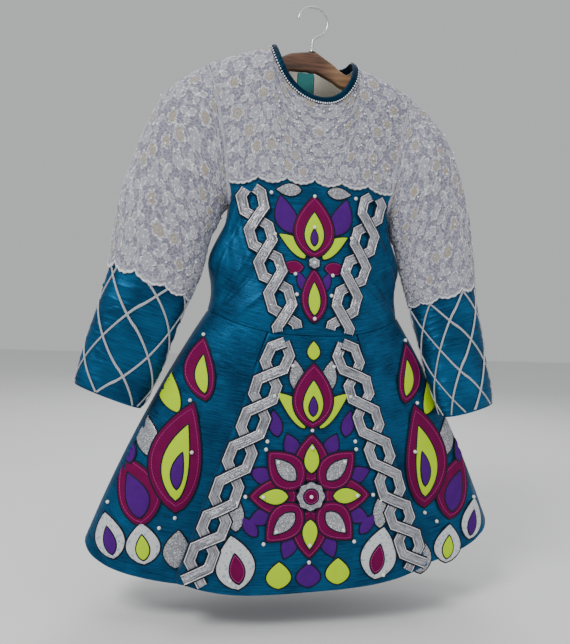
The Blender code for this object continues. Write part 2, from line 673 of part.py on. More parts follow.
def make_sleeves():
    for side, word, table in ((-1.0, "left", LEFT_SLEEVE), (1.0, "right", RIGHT_SLEEVE)):
        def upper(u, v, side=side, table=table):
            end = SLEEVE_LACE_END - scallops(u, SLEEVE_SCALLOPS, SLEEVE_SCALLOP_DEPTH)
            return sleeve_point(u, v * end, table, side)

        def upper_layer(u, v):
            return -SLEEVE_CLOTH / 2 + 0.0018 * smooth_step(v, 0.35, 0.80)

        def lower(u, v, side=side, table=table):
            return sleeve_point(u, SLEEVE_CUFF_TOP + (1.0 - SLEEVE_CUFF_TOP) * v, table, side)

        def ruching(u, v):
            wave = np.sin(2.0 * np.pi * (SLEEVE_GATHERS * v + 0.25 * np.sin(6.0 * np.pi * u)))
            return SLEEVE_GATHER_DEPTH * (0.5 + 0.5 * wave) * smooth_step(v, 0.14, 0.22)

        cloth_wall(f"sleeve_upper_{word}", upper, (28, 10), SLEEVE_CLOTH, "lace_white",
                   layer=upper_layer, closed=True)
        cloth_wall(f"sleeve_lower_{word}", lower, (28, 15), SLEEVE_CLOTH, "teal_satin",
                   layer=-SLEEVE_CLOTH / 2, closed=True, coarser=(2, 3), relief=ruching)


# Skirt


def skirt_half_width(t):
    return WAIST_HALF_WIDTH + (HEM_HALF_WIDTH - WAIST_HALF_WIDTH) * t + SKIRT_BULGE * 4.0 * t * (1.0 - t)


def ring_depth(share, t, front):
    """Depth of the skirt's ring, front or back, before the front panel stands out from it."""
    seam = waist_height(WAIST_HALF_WIDTH * share, front)
    top = smooth_table(seam, BODY_SECTIONS, 0, 2 if front else 3)
    low = HEM_RING_FRONT if front else HEM_RING_BACK
    power = BODY_POWER + (HEM_RING_POWER - BODY_POWER) * t
    return (top + (low - top) * t) * np.clip(1.0 - np.abs(share) ** power, 0.0, 1.0) ** (1.0 / power)


def skirt_ring(share, t, front=True):
    """A point of the skirt by its share of the half width and its share of the way to the hem."""
    share, t = np.broadcast_arrays(np.asarray(share, float), np.asarray(t, float))
    x = skirt_half_width(t) * share
    depth = ring_depth(share, t, front)
    top = waist_height(WAIST_HALF_WIDTH * share, front) - SKIRT_SEAM
    fall = HEM_SIDE_FALL if front else HEM_BACK_FALL
    hem = HEM_SIDE_Z - fall * np.sqrt(np.clip(1.0 - share**2, 0.0, 1.0)) + HEM_LEAN * HEM_HALF_WIDTH * share
    return np.stack([x, -depth if front else depth, top + (hem - top) * t], axis=-1)


def pleat_x(t):
    return PLEAT_WAIST_X + (PLEAT_HEM_X - PLEAT_WAIST_X) * t


def panel_proud(t):
    return PANEL_PROUD * np.clip(t, 0.0, 1.0) ** PANEL_PROUD_POWER


def face_spot(share, t):
    """A point of the front panel's face: share -1 to 1 between its folds."""
    share, t = np.broadcast_arrays(np.asarray(share, float), np.asarray(t, float))
    x = pleat_x(t) * share
    y = -ring_depth(x / skirt_half_width(t), t, True) - panel_proud(t)
    top = waist_height(PLEAT_WAIST_X * share) - SKIRT_SEAM
    hem = HEM_CENTRE_Z + HEM_PLEAT_RISE * np.clip(np.abs(share), 0, 1) ** HEM_PLEAT_POWER
    hem = hem + HEM_LEAN * PLEAT_HEM_X * share
    return np.stack([x, y, top + (hem - top) * t], axis=-1)


def front_panel(u, t):
    """The front panel: its face, a rounded fold at each side and a return that goes back to the skirt."""
    across = 2.0 * u - 1.0
    size, side = np.abs(across), np.sign(across)
    radius = PLEAT_ROUND_WAIST + (PLEAT_ROUND_HEM - PLEAT_ROUND_WAIST) * t
    edge = 1.0 - radius / pleat_x(t)
    face_share = np.clip(size / FACE_SHARE, 0.0, 1.0) * edge
    spot = face_spot(side * face_share, t)
    bend = np.clip((size - FACE_SHARE) / (ROUND_SHARE - FACE_SHARE), 0.0, 1.0) * np.pi / 2
    back = np.clip((size - ROUND_SHARE) / (1.0 - ROUND_SHARE), 0.0, 1.0)
    ring_y = -ring_depth(pleat_x(t) / skirt_half_width(t), t, True)
    edge_y = face_spot(edge, t)[..., 1] + radius
    reach = np.maximum(ring_y - SKIRT_CLOTH - RETURN_GAP - edge_y, RETURN_LEAST)
    spot[..., 0] += side * radius * np.sin(bend)
    spot[..., 1] += radius * (1.0 - np.cos(bend)) + reach * back
    return spot


def side_panel(u, t, side):
    """A side panel: it slides behind the front panel's fold and runs to the side seam."""
    start = pleat_x(t) + PLEAT_BUTT - (PLEAT_BUTT + PLEAT_TUCK) * smooth_step(t, *PLEAT_SLIDE)
    first = np.arcsin(start / skirt_half_width(t))
    share = np.sin(first + (np.pi / 2 - first) * u)
    return seamed(skirt_ring(side * share, t, True), True)


def back_panel(u, t, side):
    """Half of the skirt's back, parted over the zip and seamed below it."""
    gap = BACK_GAP_HALF + (SEAM_GAP / 2 - BACK_GAP_HALF) * smooth_step(t, 0.37, 0.50)
    first = np.arcsin(gap / skirt_half_width(t))
    share = np.sin(first + (np.pi / 2 - first) * u)
    return seamed(skirt_ring(side * share, t, False), False)


def make_skirt():
    cloth_wall("skirt_front_panel", front_panel, (40, 7), SKIRT_CLOTH, "teal_satin", outward=-1.0,
               level_top=SKIRT_LEVEL_SHARE)
    for side, word in ((-1.0, "left"), (1.0, "right")):
        def flank(u, t, side=side):
            return side_panel(u, t, side)

        def back(u, t, side=side):
            return back_panel(u, t, side)

        cloth_wall(f"skirt_side_{word}", flank, (12, 8), SKIRT_CLOTH, "teal_satin", outward=-side,
                   level_top=SKIRT_LEVEL_SHARE)
        cloth_wall(f"skirt_back_{word}", back, (12, 8), SKIRT_CLOTH, "teal_satin", outward=side,
                   level_top=SKIRT_LEVEL_SHARE)


# Braids


def body_surface(x, z):
    return body_point(x, z, True, creased=False)


def face_surface(x, z):
    """The front panel's face found by x and height."""
    t = np.clip((WAIST_CENTRE_Z - z) / (WAIST_CENTRE_Z - HEM_CENTRE_Z), 0.0, 1.0)
    for _ in range(6):
        spot = face_spot(x / pleat_x(t), t)
        t = t + (spot[..., 2] - z) / 0.34
    return face_spot(x / pleat_x(t), t)


def lifted(surface, flat, rise):
    """Points given by x and height, set on a surface and lifted along its outward normal."""
    x, z = flat[:, 0], flat[:, 1]
    step = 0.002
    along_x = surface(x + step, z) - surface(x - step, z)
    along_z = surface(x, z + step) - surface(x, z - step)
    normal = np.cross(along_x, along_z)
    normal /= np.linalg.norm(normal, axis=1, keepdims=True)
    return surface(x, z) + normal * rise[:, None]


def turned_sides(line):
    """The sideways direction at each point of a flat line, longer at a corner so that a strip keeps its width."""
    run = np.diff(line, axis=0)
    run /= np.linalg.norm(run, axis=1, keepdims=True)
    ahead = np.concatenate([run, run[-1:]])
    middle = ahead + np.concatenate([run[:1], run])
    middle /= np.linalg.norm(middle, axis=1, keepdims=True)
    reach = 1.0 / np.clip((middle * ahead).sum(axis=1), 0.75, 1.0)
    return np.stack([-middle[:, 1], middle[:, 0]], axis=1) * reach[:, None]


def strand_line(centre, steps, phase):
    """The flat line of a strand, and how near it passes over the other: it slants across the centre line at
    each crossing, and runs upright beside it between its corners. It goes over where it slants outwards."""
    table = tuple((step,) + tuple(spot) for step, spot in enumerate(centre))
    path = np.stack([smooth_table(steps, table, 0, 1), smooth_table(steps, table, 0, 2)], axis=1)
    slope = np.gradient(path, steps, axis=0)
    slope /= np.linalg.norm(slope, axis=1, keepdims=True)
    across = np.stack([-slope[:, 1], slope[:, 0]], axis=1)
    wave = 1.0 - 2.0 * np.abs((steps + 0.5) % 2.0 - 1.0)
    swing = BRAID_SWING * np.clip(wave / (2.0 * STRAND_CORNER), -1.0, 1.0) * phase
    nearest = np.round(steps)
    outwards = (nearest % 2 == 0) == (phase * centre[0][0] > 0)
    near = 1.0 - smooth_step(np.abs(steps - nearest), OVER_FULL, OVER_NONE)
    return path + across * swing[:, None], near * outwards


def make_strand(name, centre, span, phase, surface, cloth):
    """One braid strand: a crowned strip that passes over the other one at every second crossing."""
    first, last = span
    steps = [cell + part for cell in range(int(last) + 1) for part in BRAID_STEPS]
    steps = np.array([first] + [step for step in steps if first + 0.04 <= step <= last - 0.04] + [last])
    line, over = strand_line(centre, steps, phase)
    sideways = turned_sides(line) * STRAND_WIDTH / 2
    base = cloth + STRAND_LIFT + STRAND_OVER * over
    rings = [
        lifted(surface, line + sideways, base),
        lifted(surface, line - sideways, base),
        lifted(surface, line - sideways, base + STRAND_EDGE),
        lifted(surface, line, base + STRAND_CROWN),
        lifted(surface, line + sideways, base + STRAND_EDGE),
    ]
    points = np.stack(rings, axis=1).reshape(-1, 3)
    count = len(rings)
    faces = grid_faces(len(steps), count, 0, True)
    faces.append(tuple(range(count)))
    faces.append(tuple((len(steps) - 1) * count + k for k in range(count)))
    return add_solid(name, points, faces, "silver_cloth")


def make_braids():
    for side, word in ((-1.0, "left"), (1.0, "right")):
        high = [(side * x, z) for x, z in BODICE_BRAID]
        low = []
        for t, share in SKIRT_BRAID:
            spot = face_spot(side * share, np.array(t))
            low.append((float(spot[0]), float(spot[2])))
        for phase, letter in ((side, "a"), (-side, "b")):
            make_strand(f"bodice_braid_{word}_{letter}", high, BODICE_BRAID_SPAN, phase, body_surface, SATIN)
            make_strand(f"skirt_braid_{word}_{letter}", low, SKIRT_BRAID_SPAN, phase, face_surface, SKIRT_CLOTH)


# Zip


def back_line(z):
    """Depth of the centre back at a height, on the bodice or on the skirt."""
    z = np.asarray(z, float)
    bodice = body_spot(np.zeros_like(z), np.maximum(z, WAIST_BACK_Z), False)[..., 1]
    t = np.clip((WAIST_BACK_Z - z) / (WAIST_BACK_Z - HEM_SIDE_Z + HEM_BACK_FALL), 0.0, 1.0)
    skirt = skirt_ring(np.zeros_like(z), t, False)[..., 1]
    return np.where(z > WAIST_BACK_Z, bodice, skirt)


def sweep(sections, faces_capped=True):
    """Faces over a row of closed sections that have the same number of points."""
    rows, count = len(sections), len(sections[0])
    faces = grid_faces(rows, count, 0, True)
    if faces_capped:
        faces.append(tuple(range(count)))
        faces.append(tuple((rows - 1) * count + k for k in range(count)))
    return np.array(sections).reshape(-1, 3), faces


def make_zip():
    heights = np.concatenate([np.linspace(ZIP_TOP_Z, WAIST_BACK_Z, 20), np.linspace(-0.465, ZIP_BOTTOM_Z, 4)])
    section = (
        (-ZIP_TAPE_HALF, ZIP_TAPE_INSIDE), (ZIP_TAPE_HALF, ZIP_TAPE_INSIDE),
        (ZIP_TAPE_HALF, ZIP_TAPE_OUTSIDE), (ZIP_CHAIN_HALF, ZIP_TAPE_OUTSIDE),
        (ZIP_CHAIN_HALF, ZIP_CHAIN_OUT), (-ZIP_CHAIN_HALF, ZIP_CHAIN_OUT),
        (-ZIP_CHAIN_HALF, ZIP_TAPE_OUTSIDE), (-ZIP_TAPE_HALF, ZIP_TAPE_OUTSIDE),
    )
    depths = back_line(heights)
    rows = [[(x, depth + out, z) for x, out in section] for depth, z in zip(depths, heights)]
    points, faces = sweep(rows)
    add_solid("zip_tape", points, faces, "zip_teal", smooth=False)


def extruded(name, outline, hole, half, axis_spot, finish):
    """A plate with one window: its outline and window lie in one plane, half on each side of the middle."""
    outline, hole = list(outline), list(hole)
    count = len(outline)
    points = []
    for way in (-half, half):
        points += [axis_spot(a, b, way) for a, b in outline]
        points += [axis_spot(a, b, way) for a, b in hole]
    both = 2 * count
    faces = []
    for k in range(count):
        n = (k + 1) % count
        faces.append((k, n, count + n, count + k))
        faces.append((both + k, both + n, both + count + n, both + count + k))
        faces.append((k, n, both + n, both + k))
        faces.append((count + k, count + n, both + count + n, both + count + k))
    return add_solid(name, points, faces, finish, smooth=False)


def make_slider():
    base = float(back_line(SLIDER_Z))
    half = SLIDER_LENGTH / 2
    body_outline = ((-half, SLIDER_IN), (half, SLIDER_IN), (half, SLIDER_OUT), (-half, SLIDER_OUT))
    rows = []
    for x in (-SLIDER_HALF_WIDTH, SLIDER_HALF_WIDTH):
        rows.append([(x, base + out, SLIDER_Z + up) for up, out in body_outline])
    points, faces = sweep(rows)
    block = add_solid("zip_slider", points, faces, "zip_metal", smooth=False)
    low, high = BAIL_WINDOW
    long = BAIL_HALF_LENGTH
    arch = ((-long, SLIDER_OUT - 0.001), (long, SLIDER_OUT - 0.001), (long, BAIL_OUT), (-long, BAIL_OUT))
    gap = long - 0.0010
    window = ((-gap, low), (gap, low), (gap, high), (-gap, high))
    bail = extruded("zip_bail", arch, window, BAIL_HALF_WIDTH,
                    lambda up, out, x: (x, base + out, SLIDER_Z + up), "zip_metal")
    join = block.modifiers.new("join", "BOOLEAN")
    join.operation = "UNION"
    join.object = bail
    join.solver = "EXACT"
    depsgraph = bpy.context.evaluated_depsgraph_get()
    joined = bpy.data.meshes.new_from_object(block.evaluated_get(depsgraph))
    block.modifiers.clear()
    block.data = joined
    bpy.data.objects.remove(bail, do_unlink=True)


def make_pull():
    """The pull tab: a flat loop whose top bar hangs in the slider's bail."""
    axis_y = float(back_line(SLIDER_Z)) + PULL_AXIS_OUT
    top, wide, end = PULL_BAR_HALF, PULL_HALF_WIDTH, PULL_LENGTH
    inner = wide - 2 * PULL_ARM_HALF
    outline = ((-wide, top), (wide, top), (wide * 0.85, -end), (-wide * 0.85, -end))
    window = ((-inner, -top), (inner, -top), (inner, -PULL_WINDOW), (-inner, -PULL_WINDOW))
    extruded("zip_pull", outline, window, PULL_BAR_HALF,
             lambda x, up, out: (x, axis_y + out, SLIDER_Z + up), "zip_metal")


# Hanger


def rounded_section(half_wide, half_high, corners=3, round_share=0.45):
    """A rectangle with rounded corners, as a list of two-way offsets."""
    radius = round_share * min(half_wide, half_high)
    ring = []
    for centre_x, centre_z, start in ((1, 1, 0), (-1, 1, 90), (-1, -1, 180), (1, -1, 270)):
        for k in range(corners):
            angle = math.radians(start + 90.0 * k / (corners - 1))
            ring.append((centre_x * (half_wide - radius) + radius * math.cos(angle),
                         centre_z * (half_high - radius) + radius * math.sin(angle)))
    return ring


def make_hanger():
    rows = []
    for x in np.linspace(-HANGER_HALF_SPAN, HANGER_HALF_SPAN, 21):
        size = abs(x) / HANGER_HALF_SPAN
        cloth = float(ridge_height(np.array(max(abs(x), NECK_HALF_WIDTH))) + hang_tilt(np.array(x), np.array(-0.1)))
        seated = float(smooth_step(np.array(abs(x)), *HANGER_RISE))
        arm = cloth - HANGER_UNDER_NECK + (HANGER_UNDER_NECK + HANGER_IN_SHOULDER) * seated
        fall = HANGER_FALL_RIGHT if x > 0 else HANGER_FALL_LEFT
        slope = HANGER_PEAK_Z - fall * max(abs(x) - HANGER_CREST_HALF, 0.0)
        blend = float(smooth_step(np.array(abs(x)), 0.030, 0.062))
        top = slope * (1.0 - blend) + arm * blend
        high = HANGER_CENTRE_HEIGHT + (HANGER_END_HEIGHT - HANGER_CENTRE_HEIGHT) * min(size * 1.4, 1.0)
        end = math.sqrt(max(1.0 - max(size - 0.94, 0.0) ** 2 / 0.0040, 0.05))
        section = rounded_section(HANGER_HALF_THICKNESS * end, high / 2 * end)
        rows.append([(x, wide, top - high / 2 + up) for wide, up in section])
    points, faces = sweep(rows)
    add_solid("hanger_wood", points, faces, "hanger_wood")


def make_hook():
    centre_z = HOOK_WIRE - HOOK_RADIUS
    foot = HANGER_PEAK_Z + SEAM_GAP
    start = math.radians(HOOK_START)
    joint = (HOOK_RADIUS * math.cos(start), centre_z + HOOK_RADIUS * math.sin(start))
    heading = (-math.sin(start), math.cos(start))
    path = []
    low = foot + HOOK_COLLAR
    bend_from = joint[1] - 0.012
    for k in range(7):
        s = k / 7
        a, b = (0.0, bend_from), joint
        pull = 0.012
        x = (a[0] * (1 - s) ** 3 + 3 * a[0] * s * (1 - s) ** 2
             + 3 * (b[0] - heading[0] * pull) * s**2 * (1 - s) + b[0] * s**3)
        z = (a[1] * (1 - s) ** 3 + 3 * (a[1] + 0.006) * s * (1 - s) ** 2
             + 3 * (b[1] - heading[1] * pull) * s**2 * (1 - s) + b[1] * s**3)
        path.append((x, z))
    for angle in np.radians(np.linspace(HOOK_START, HOOK_END, 25)):
        path.append((HOOK_RADIUS * math.cos(angle), centre_z + HOOK_RADIUS * math.sin(angle)))
    path = np.array(path)
    tangent = np.gradient(path, axis=0)
    tangent /= np.linalg.norm(tangent, axis=1, keepdims=True)
    sides = 6
    rows = []
    for z, radius in ((foot, HOOK_COLLAR_RADIUS), (low, HOOK_COLLAR_RADIUS), (low + 0.0002, HOOK_WIRE)):
        rows.append([(radius * math.cos(2 * math.pi * k / sides), radius * math.sin(2 * math.pi * k / sides), z)
                     for k in range(sides)])
    for (x, z), (run_x, run_z) in zip(path, tangent):
        row = []
        for k in range(sides):
            angle = 2 * math.pi * k / sides
            across = HOOK_WIRE * math.cos(angle)
            row.append((x + run_z * across, HOOK_WIRE * math.sin(angle), z - run_x * across))
        rows.append(row)
    points, faces = sweep(rows)
    add_solid("hanger_hook", points, faces, "hook_steel")


clear_scene()
make_bodice()
make_binding()
make_sleeves()
make_skirt()
make_braids()
make_zip()
make_slider()
make_pull()
make_hanger()
make_hook()
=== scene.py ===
"""The looks of a girl's dance dress on a wooden hanger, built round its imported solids.

Every piece is a surface worked out from two parameters, in metres, with +Z up and the front facing -Y.
The base surfaces are those of the solids, and each piece adds its own folds, cords, lace and patches.
"""

import math

import bmesh
import bpy
import numpy as np
from mathutils import Matrix, Vector


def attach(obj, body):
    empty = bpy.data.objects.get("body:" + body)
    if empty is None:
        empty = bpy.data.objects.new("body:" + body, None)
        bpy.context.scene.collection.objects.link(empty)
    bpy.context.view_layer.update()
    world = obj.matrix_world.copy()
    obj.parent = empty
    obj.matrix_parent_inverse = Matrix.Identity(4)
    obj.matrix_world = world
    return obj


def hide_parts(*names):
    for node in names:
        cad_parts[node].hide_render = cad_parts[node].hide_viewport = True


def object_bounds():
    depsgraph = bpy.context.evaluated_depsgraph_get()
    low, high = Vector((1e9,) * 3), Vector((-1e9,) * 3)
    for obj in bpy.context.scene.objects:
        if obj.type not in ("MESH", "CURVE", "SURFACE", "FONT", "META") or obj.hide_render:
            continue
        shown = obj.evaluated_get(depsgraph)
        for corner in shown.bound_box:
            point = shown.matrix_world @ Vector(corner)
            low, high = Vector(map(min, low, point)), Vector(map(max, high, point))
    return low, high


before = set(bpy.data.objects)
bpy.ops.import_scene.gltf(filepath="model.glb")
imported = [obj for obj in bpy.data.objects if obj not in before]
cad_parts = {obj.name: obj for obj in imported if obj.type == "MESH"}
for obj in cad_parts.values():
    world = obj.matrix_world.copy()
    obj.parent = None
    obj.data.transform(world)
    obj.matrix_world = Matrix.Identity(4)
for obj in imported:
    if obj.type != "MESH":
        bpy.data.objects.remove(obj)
solid_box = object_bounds()

DRESS = "dress"

# Cloth and seams
SEAM_GAP = 0.0003
LAYER_GAP = 0.0006
SATIN = 0.0015
LACE = 0.0015
SLEEVE_CLOTH = 0.0012
SKIRT_CLOTH = 0.0025
LINING = 0.0010
LINING_LAYER = -0.0006
LINING_START = 0.215
LINING_END = 0.82
LINING_LOW_WIDTH = 0.085
LINING_LOW_Z = -0.200
LINING_BELOW_EDGE = 0.0012

# Neck, shoulders and the slight hang to one side
NECK_HALF_WIDTH = 0.063
NECK_SIDE_Z = -0.0815
NECK_FRONT_Z = -0.154
NECK_BACK_DEPTH = 0.0390
NECK_BACK_SLOPE = 0.35
NECK_POWER = 2.1
NECK_ARCH = 0.040
NECK_ARCH_HALF = 0.075
NECK_BAND_WIDTH = 0.0095
NECK_BAND_THICKNESS = 0.0030
SHOULDER_DROP = 0.0292
SHOULDER_RUN = 0.087
SHOULDER_POWER = 1.35
SHOULDER_ROUND = 0.050
HANG_TILT = 0.0085
HANG_TILT_RUN = 0.050
HANG_TILT_FROM_Z = -0.300
HANG_TILT_FULL_Z = -0.150

# Bodice
BODY_POWER = 2.3
WAIST_CENTRE_Z = -0.479
WAIST_SIDE_Z = -0.449
WAIST_BACK_Z = -0.452
WAIST_HALF_WIDTH = 0.138
WAIST_POWER = 2.6
YOKE_EDGE_Z = -0.2620
YOKE_SCALLOPS = 6
YOKE_SCALLOP_DEPTH = 0.0075
YOKE_BACK_SCALLOPS = 3
YOKE_ROW_POWER = 1.3
BODICE_TOP_Z = -0.2520
BODICE_ROWS = 11
SIDE_SEAM_ROWS = 5
BACK_GAP_HALF = 0.0034
UNDERARM_Z = -0.300
UNDERARM_PINCH = 0.225
PINCH_POWER = 6.0

# height z, half width, depth of the front, depth of the back
BODY_SECTIONS = (
    (-0.490, 0.1390, 0.0740, 0.0580),
    (-0.449, 0.1380, 0.0720, 0.0560),
    (-0.425, 0.1340, 0.0680, 0.0540),
    (-0.385, 0.1400, 0.0610, 0.0520),
    (-0.340, 0.1420, 0.0540, 0.0500),
    (-0.300, 0.1430, 0.0490, 0.0480),
    (-0.250, 0.1460, 0.0450, 0.0460),
    (-0.200, 0.1500, 0.0430, 0.0450),
    (-0.155, 0.1530, 0.0420, 0.0430),
    (-0.040, 0.1560, 0.0400, 0.0400),
)
# armhole from the underarm to the shoulder: share of its length, share of the half width, height z
ARMHOLE = (
    (0.00, 1.000, UNDERARM_Z),
    (0.09, 0.985, -0.2995),
    (0.18, 0.915, -0.2965),
    (0.29, 0.835, -0.2860),
    (0.45, 0.810, -0.2600),
    (0.65, 0.842, -0.2050),
    (0.84, 0.889, -0.1500),
    (1.00, 0.954, -0.1099),
)
ARMHOLE_YOKE_SHARE = 0.40
ARMHOLE_BODICE_SHARE = 0.48
# soft creases that fan out from under each arm: angle from straight down, half angle, depth, reach
BODICE_CREASES = (
    (-8.0, 5.5, -0.0022, 0.150),
    (4.0, 5.0, -0.0030, 0.165),
    (15.0, 5.0, -0.0026, 0.150),
    (27.0, 5.5, -0.0024, 0.110),
)
CREASE_ORIGIN_X = 0.122
CREASE_ORIGIN_Z = -0.286

# Sleeves, by row: inner point x, z, y, outer point x, z, y, half depth, share turned from armhole to oval
LEFT_SLEEVE = (
    (0.1225, -0.3035, -0.0010, 0.1640, -0.1080, 0.0000, 0.036, 0.50),
    (0.1262, -0.3120, -0.0030, 0.1860, -0.1230, 0.0000, 0.037, 0.85),
    (0.1310, -0.3290, -0.0060, 0.2060, -0.1430, 0.0000, 0.038, 1.00),
    (0.1380, -0.3410, -0.0080, 0.2240, -0.1730, -0.0010, 0.037, 1.00),
    (0.1430, -0.3540, -0.0100, 0.2380, -0.2080, -0.0030, 0.036, 1.00),
    (0.1465, -0.3690, -0.0110, 0.2490, -0.2430, -0.0050, 0.035, 1.00),
    (0.1500, -0.3850, -0.0120, 0.2590, -0.2800, -0.0070, 0.034, 1.00),
    (0.1550, -0.4030, -0.0130, 0.2670, -0.3200, -0.0090, 0.033, 1.00),
    (0.1615, -0.4200, -0.0140, 0.2720, -0.3600, -0.0110, 0.032, 1.00),
    (0.1700, -0.4400, -0.0150, 0.2770, -0.4000, -0.0130, 0.031, 1.00),
    (0.1800, -0.4650, -0.0160, 0.2850, -0.4350, -0.0140, 0.030, 1.00),
    (0.1910, -0.4980, -0.0160, 0.2940, -0.4660, -0.0140, 0.029, 1.00),
    (0.2020, -0.5310, -0.0160, 0.3030, -0.4970, -0.0140, 0.028, 1.00),
    (0.2140, -0.5600, -0.0160, 0.3105, -0.5270, -0.0140, 0.027, 1.00),
    (0.2280, -0.5870, -0.0160, 0.3160, -0.5540, -0.0140, 0.025, 1.00),
)
RIGHT_SLEEVE = (
    (0.1225, -0.3035, -0.0010, 0.1620, -0.1240, 0.0000, 0.036, 0.50),
    (0.1262, -0.3130, -0.0030, 0.1810, -0.1410, 0.0000, 0.037, 0.85),
    (0.1300, -0.3310, -0.0060, 0.2000, -0.1630, 0.0000, 0.038, 1.00),
    (0.1365, -0.3440, -0.0080, 0.2160, -0.1880, -0.0010, 0.037, 1.00),
    (0.1415, -0.3590, -0.0100, 0.2280, -0.2180, -0.0030, 0.036, 1.00),
    (0.1455, -0.3745, -0.0110, 0.2370, -0.2520, -0.0050, 0.035, 1.00),
    (0.1495, -0.3900, -0.0120, 0.2450, -0.2900, -0.0070, 0.034, 1.00),
    (0.1540, -0.4050, -0.0130, 0.2510, -0.3300, -0.0090, 0.033, 1.00),
    (0.1585, -0.4200, -0.0140, 0.2560, -0.3690, -0.0110, 0.032, 1.00),
    (0.1635, -0.4370, -0.0150, 0.2590, -0.4060, -0.0130, 0.031, 1.00),
    (0.1690, -0.4650, -0.0220, 0.2640, -0.4400, -0.0180, 0.030, 1.00),
    (0.1750, -0.4960, -0.0300, 0.2695, -0.4740, -0.0220, 0.029, 1.00),
    (0.1820, -0.5290, -0.0380, 0.2750, -0.5080, -0.0260, 0.028, 1.00),
    (0.1890, -0.5590, -0.0480, 0.2810, -0.5420, -0.0300, 0.026, 1.00),
    (0.2000, -0.5900, -0.0550, 0.2860, -0.5710, -0.0320, 0.024, 1.00),
)
SLEEVE_POWER = 2.3
SLEEVE_LACE_END = 0.640
SLEEVE_CUFF_TOP = 0.615
SLEEVE_SCALLOPS = 10
SLEEVE_SCALLOP_DEPTH = 0.016
ARMHOLE_CLEARANCE = 0.0016
TIP_CLEARANCE = 0.0012

# Skirt
SKIRT_SEAM = 0.00045
SKIRT_LEVEL_SHARE = 0.14
HEM_CENTRE_Z = -0.819
HEM_PLEAT_RISE = 0.0235
HEM_PLEAT_POWER = 3.6
HEM_SIDE_Z = -0.760
HEM_SIDE_FALL = 0.062
HEM_BACK_FALL = 0.045
HEM_LEAN = 0.035
HEM_HALF_WIDTH = 0.2950
HEM_RING_FRONT = 0.060
HEM_RING_BACK = 0.086
HEM_RING_POWER = 2.6
SKIRT_BULGE = 0.010
PLEAT_WAIST_X = 0.060
PLEAT_HEM_X = 0.171
PANEL_PROUD = 0.032
PANEL_PROUD_POWER = 0.8
PLEAT_ROUND_WAIST = 0.0016
PLEAT_ROUND_HEM = 0.0080
PLEAT_TUCK = 0.014
PLEAT_BUTT = 0.0031
PLEAT_SLIDE = (0.125, 0.30)
RETURN_LEAST = 0.0008
RETURN_GAP = 0.0006
FACE_SHARE = 0.72
ROUND_SHARE = 0.86

# Raised silver braids: two strands that cross at each whole step
BRAID_SWING = 0.0132
STRAND_LIFT = 0.0010
STRAND_OVER = 0.0026
STRAND_CORNER = 0.28
OVER_FULL = 0.21
OVER_NONE = 0.42
BODICE_BRAID = (
    (0.0895, -0.2745), (0.0790, -0.3210), (0.0665, -0.3665), (0.0525, -0.4085), (0.0400, -0.4535),
    (0.0300, -0.4980),
)
BODICE_BRAID_SPAN = (0.12, 4.42)
SKIRT_BRAID = (
    (0.031, 0.624), (0.160, 0.740), (0.285, 0.772), (0.422, 0.816), (0.557, 0.852), (0.695, 0.868),
    (0.817, 0.888),
    (0.945, 0.898), (1.070, 0.905),
)
SKIRT_BRAID_SPAN = (0.0, 7.28)

# Zip at the centre back
ZIP_TOP_Z = -0.0800
ZIP_BOTTOM_Z = -0.580
ZIP_TAPE_HALF = 0.0120
ZIP_TAPE_INSIDE = -0.0018
ZIP_TAPE_OUTSIDE = -0.0009

# Hanger
HANGER_HALF_SPAN = 0.126
HANGER_HALF_THICKNESS = 0.0060
HANGER_PEAK_Z = -0.0650
HANGER_FALL_RIGHT = 0.60
HANGER_FALL_LEFT = 0.18
HANGER_CREST_HALF = 0.006
HANGER_CENTRE_HEIGHT = 0.030
HANGER_END_HEIGHT = 0.016
HANGER_UNDER_NECK = 0.0085
HANGER_IN_SHOULDER = -0.0003
HANGER_RISE = (0.063, 0.086)
HOOK_RADIUS = 0.0220
HOOK_WIRE = 0.0018
HOOK_START = -60.0
HOOK_END = 176.0
HOOK_COLLAR_RADIUS = 0.0055
HOOK_COLLAR = 0.0020


def smooth_step(value, low, high):
    share = np.clip((value - low) / (high - low), 0.0, 1.0)
    return share * share * (3.0 - 2.0 * share)


def column(table, index):
    return np.array([row[index] for row in table])


def smooth_table(value, table, key, index):
    """A smooth curve through a table's rows: a cubic with the slopes of neighbouring rows."""
    keys, values = column(table, key), column(table, index)
    if keys[0] > keys[-1]:
        keys, values = keys[::-1], values[::-1]
    slopes = np.gradient(values, keys)
    value = np.clip(value, keys[0], keys[-1])
    spot = np.clip(np.searchsorted(keys, value) - 1, 0, len(keys) - 2)
    step = keys[spot + 1] - keys[spot]
    share = (value - keys[spot]) / step
    return (
        (2 * share**3 - 3 * share**2 + 1) * values[spot]
        + (share**3 - 2 * share**2 + share) * step * slopes[spot]
        + (3 * share**2 - 2 * share**3) * values[spot + 1]
        + (share**3 - share**2) * step * slopes[spot + 1]
    )


def ridge_height(x):
    """Height of the shoulder ridge, arched over the neck and falling to the shoulder tips."""
    out = np.clip((np.abs(x) - NECK_HALF_WIDTH) / SHOULDER_RUN, 0.0, None)
    arch = NECK_ARCH * np.clip(1.0 - (x / NECK_ARCH_HALF) ** 2, 0.0, None) ** 2
    return NECK_SIDE_Z + arch - SHOULDER_DROP * out**SHOULDER_POWER


def hang_tilt(x, z):
    """How far the hanging shoulders lean: the left side up and the right side down."""
    return -HANG_TILT * np.tanh(x / HANG_TILT_RUN) * smooth_step(z, HANG_TILT_FROM_Z, HANG_TILT_FULL_Z)


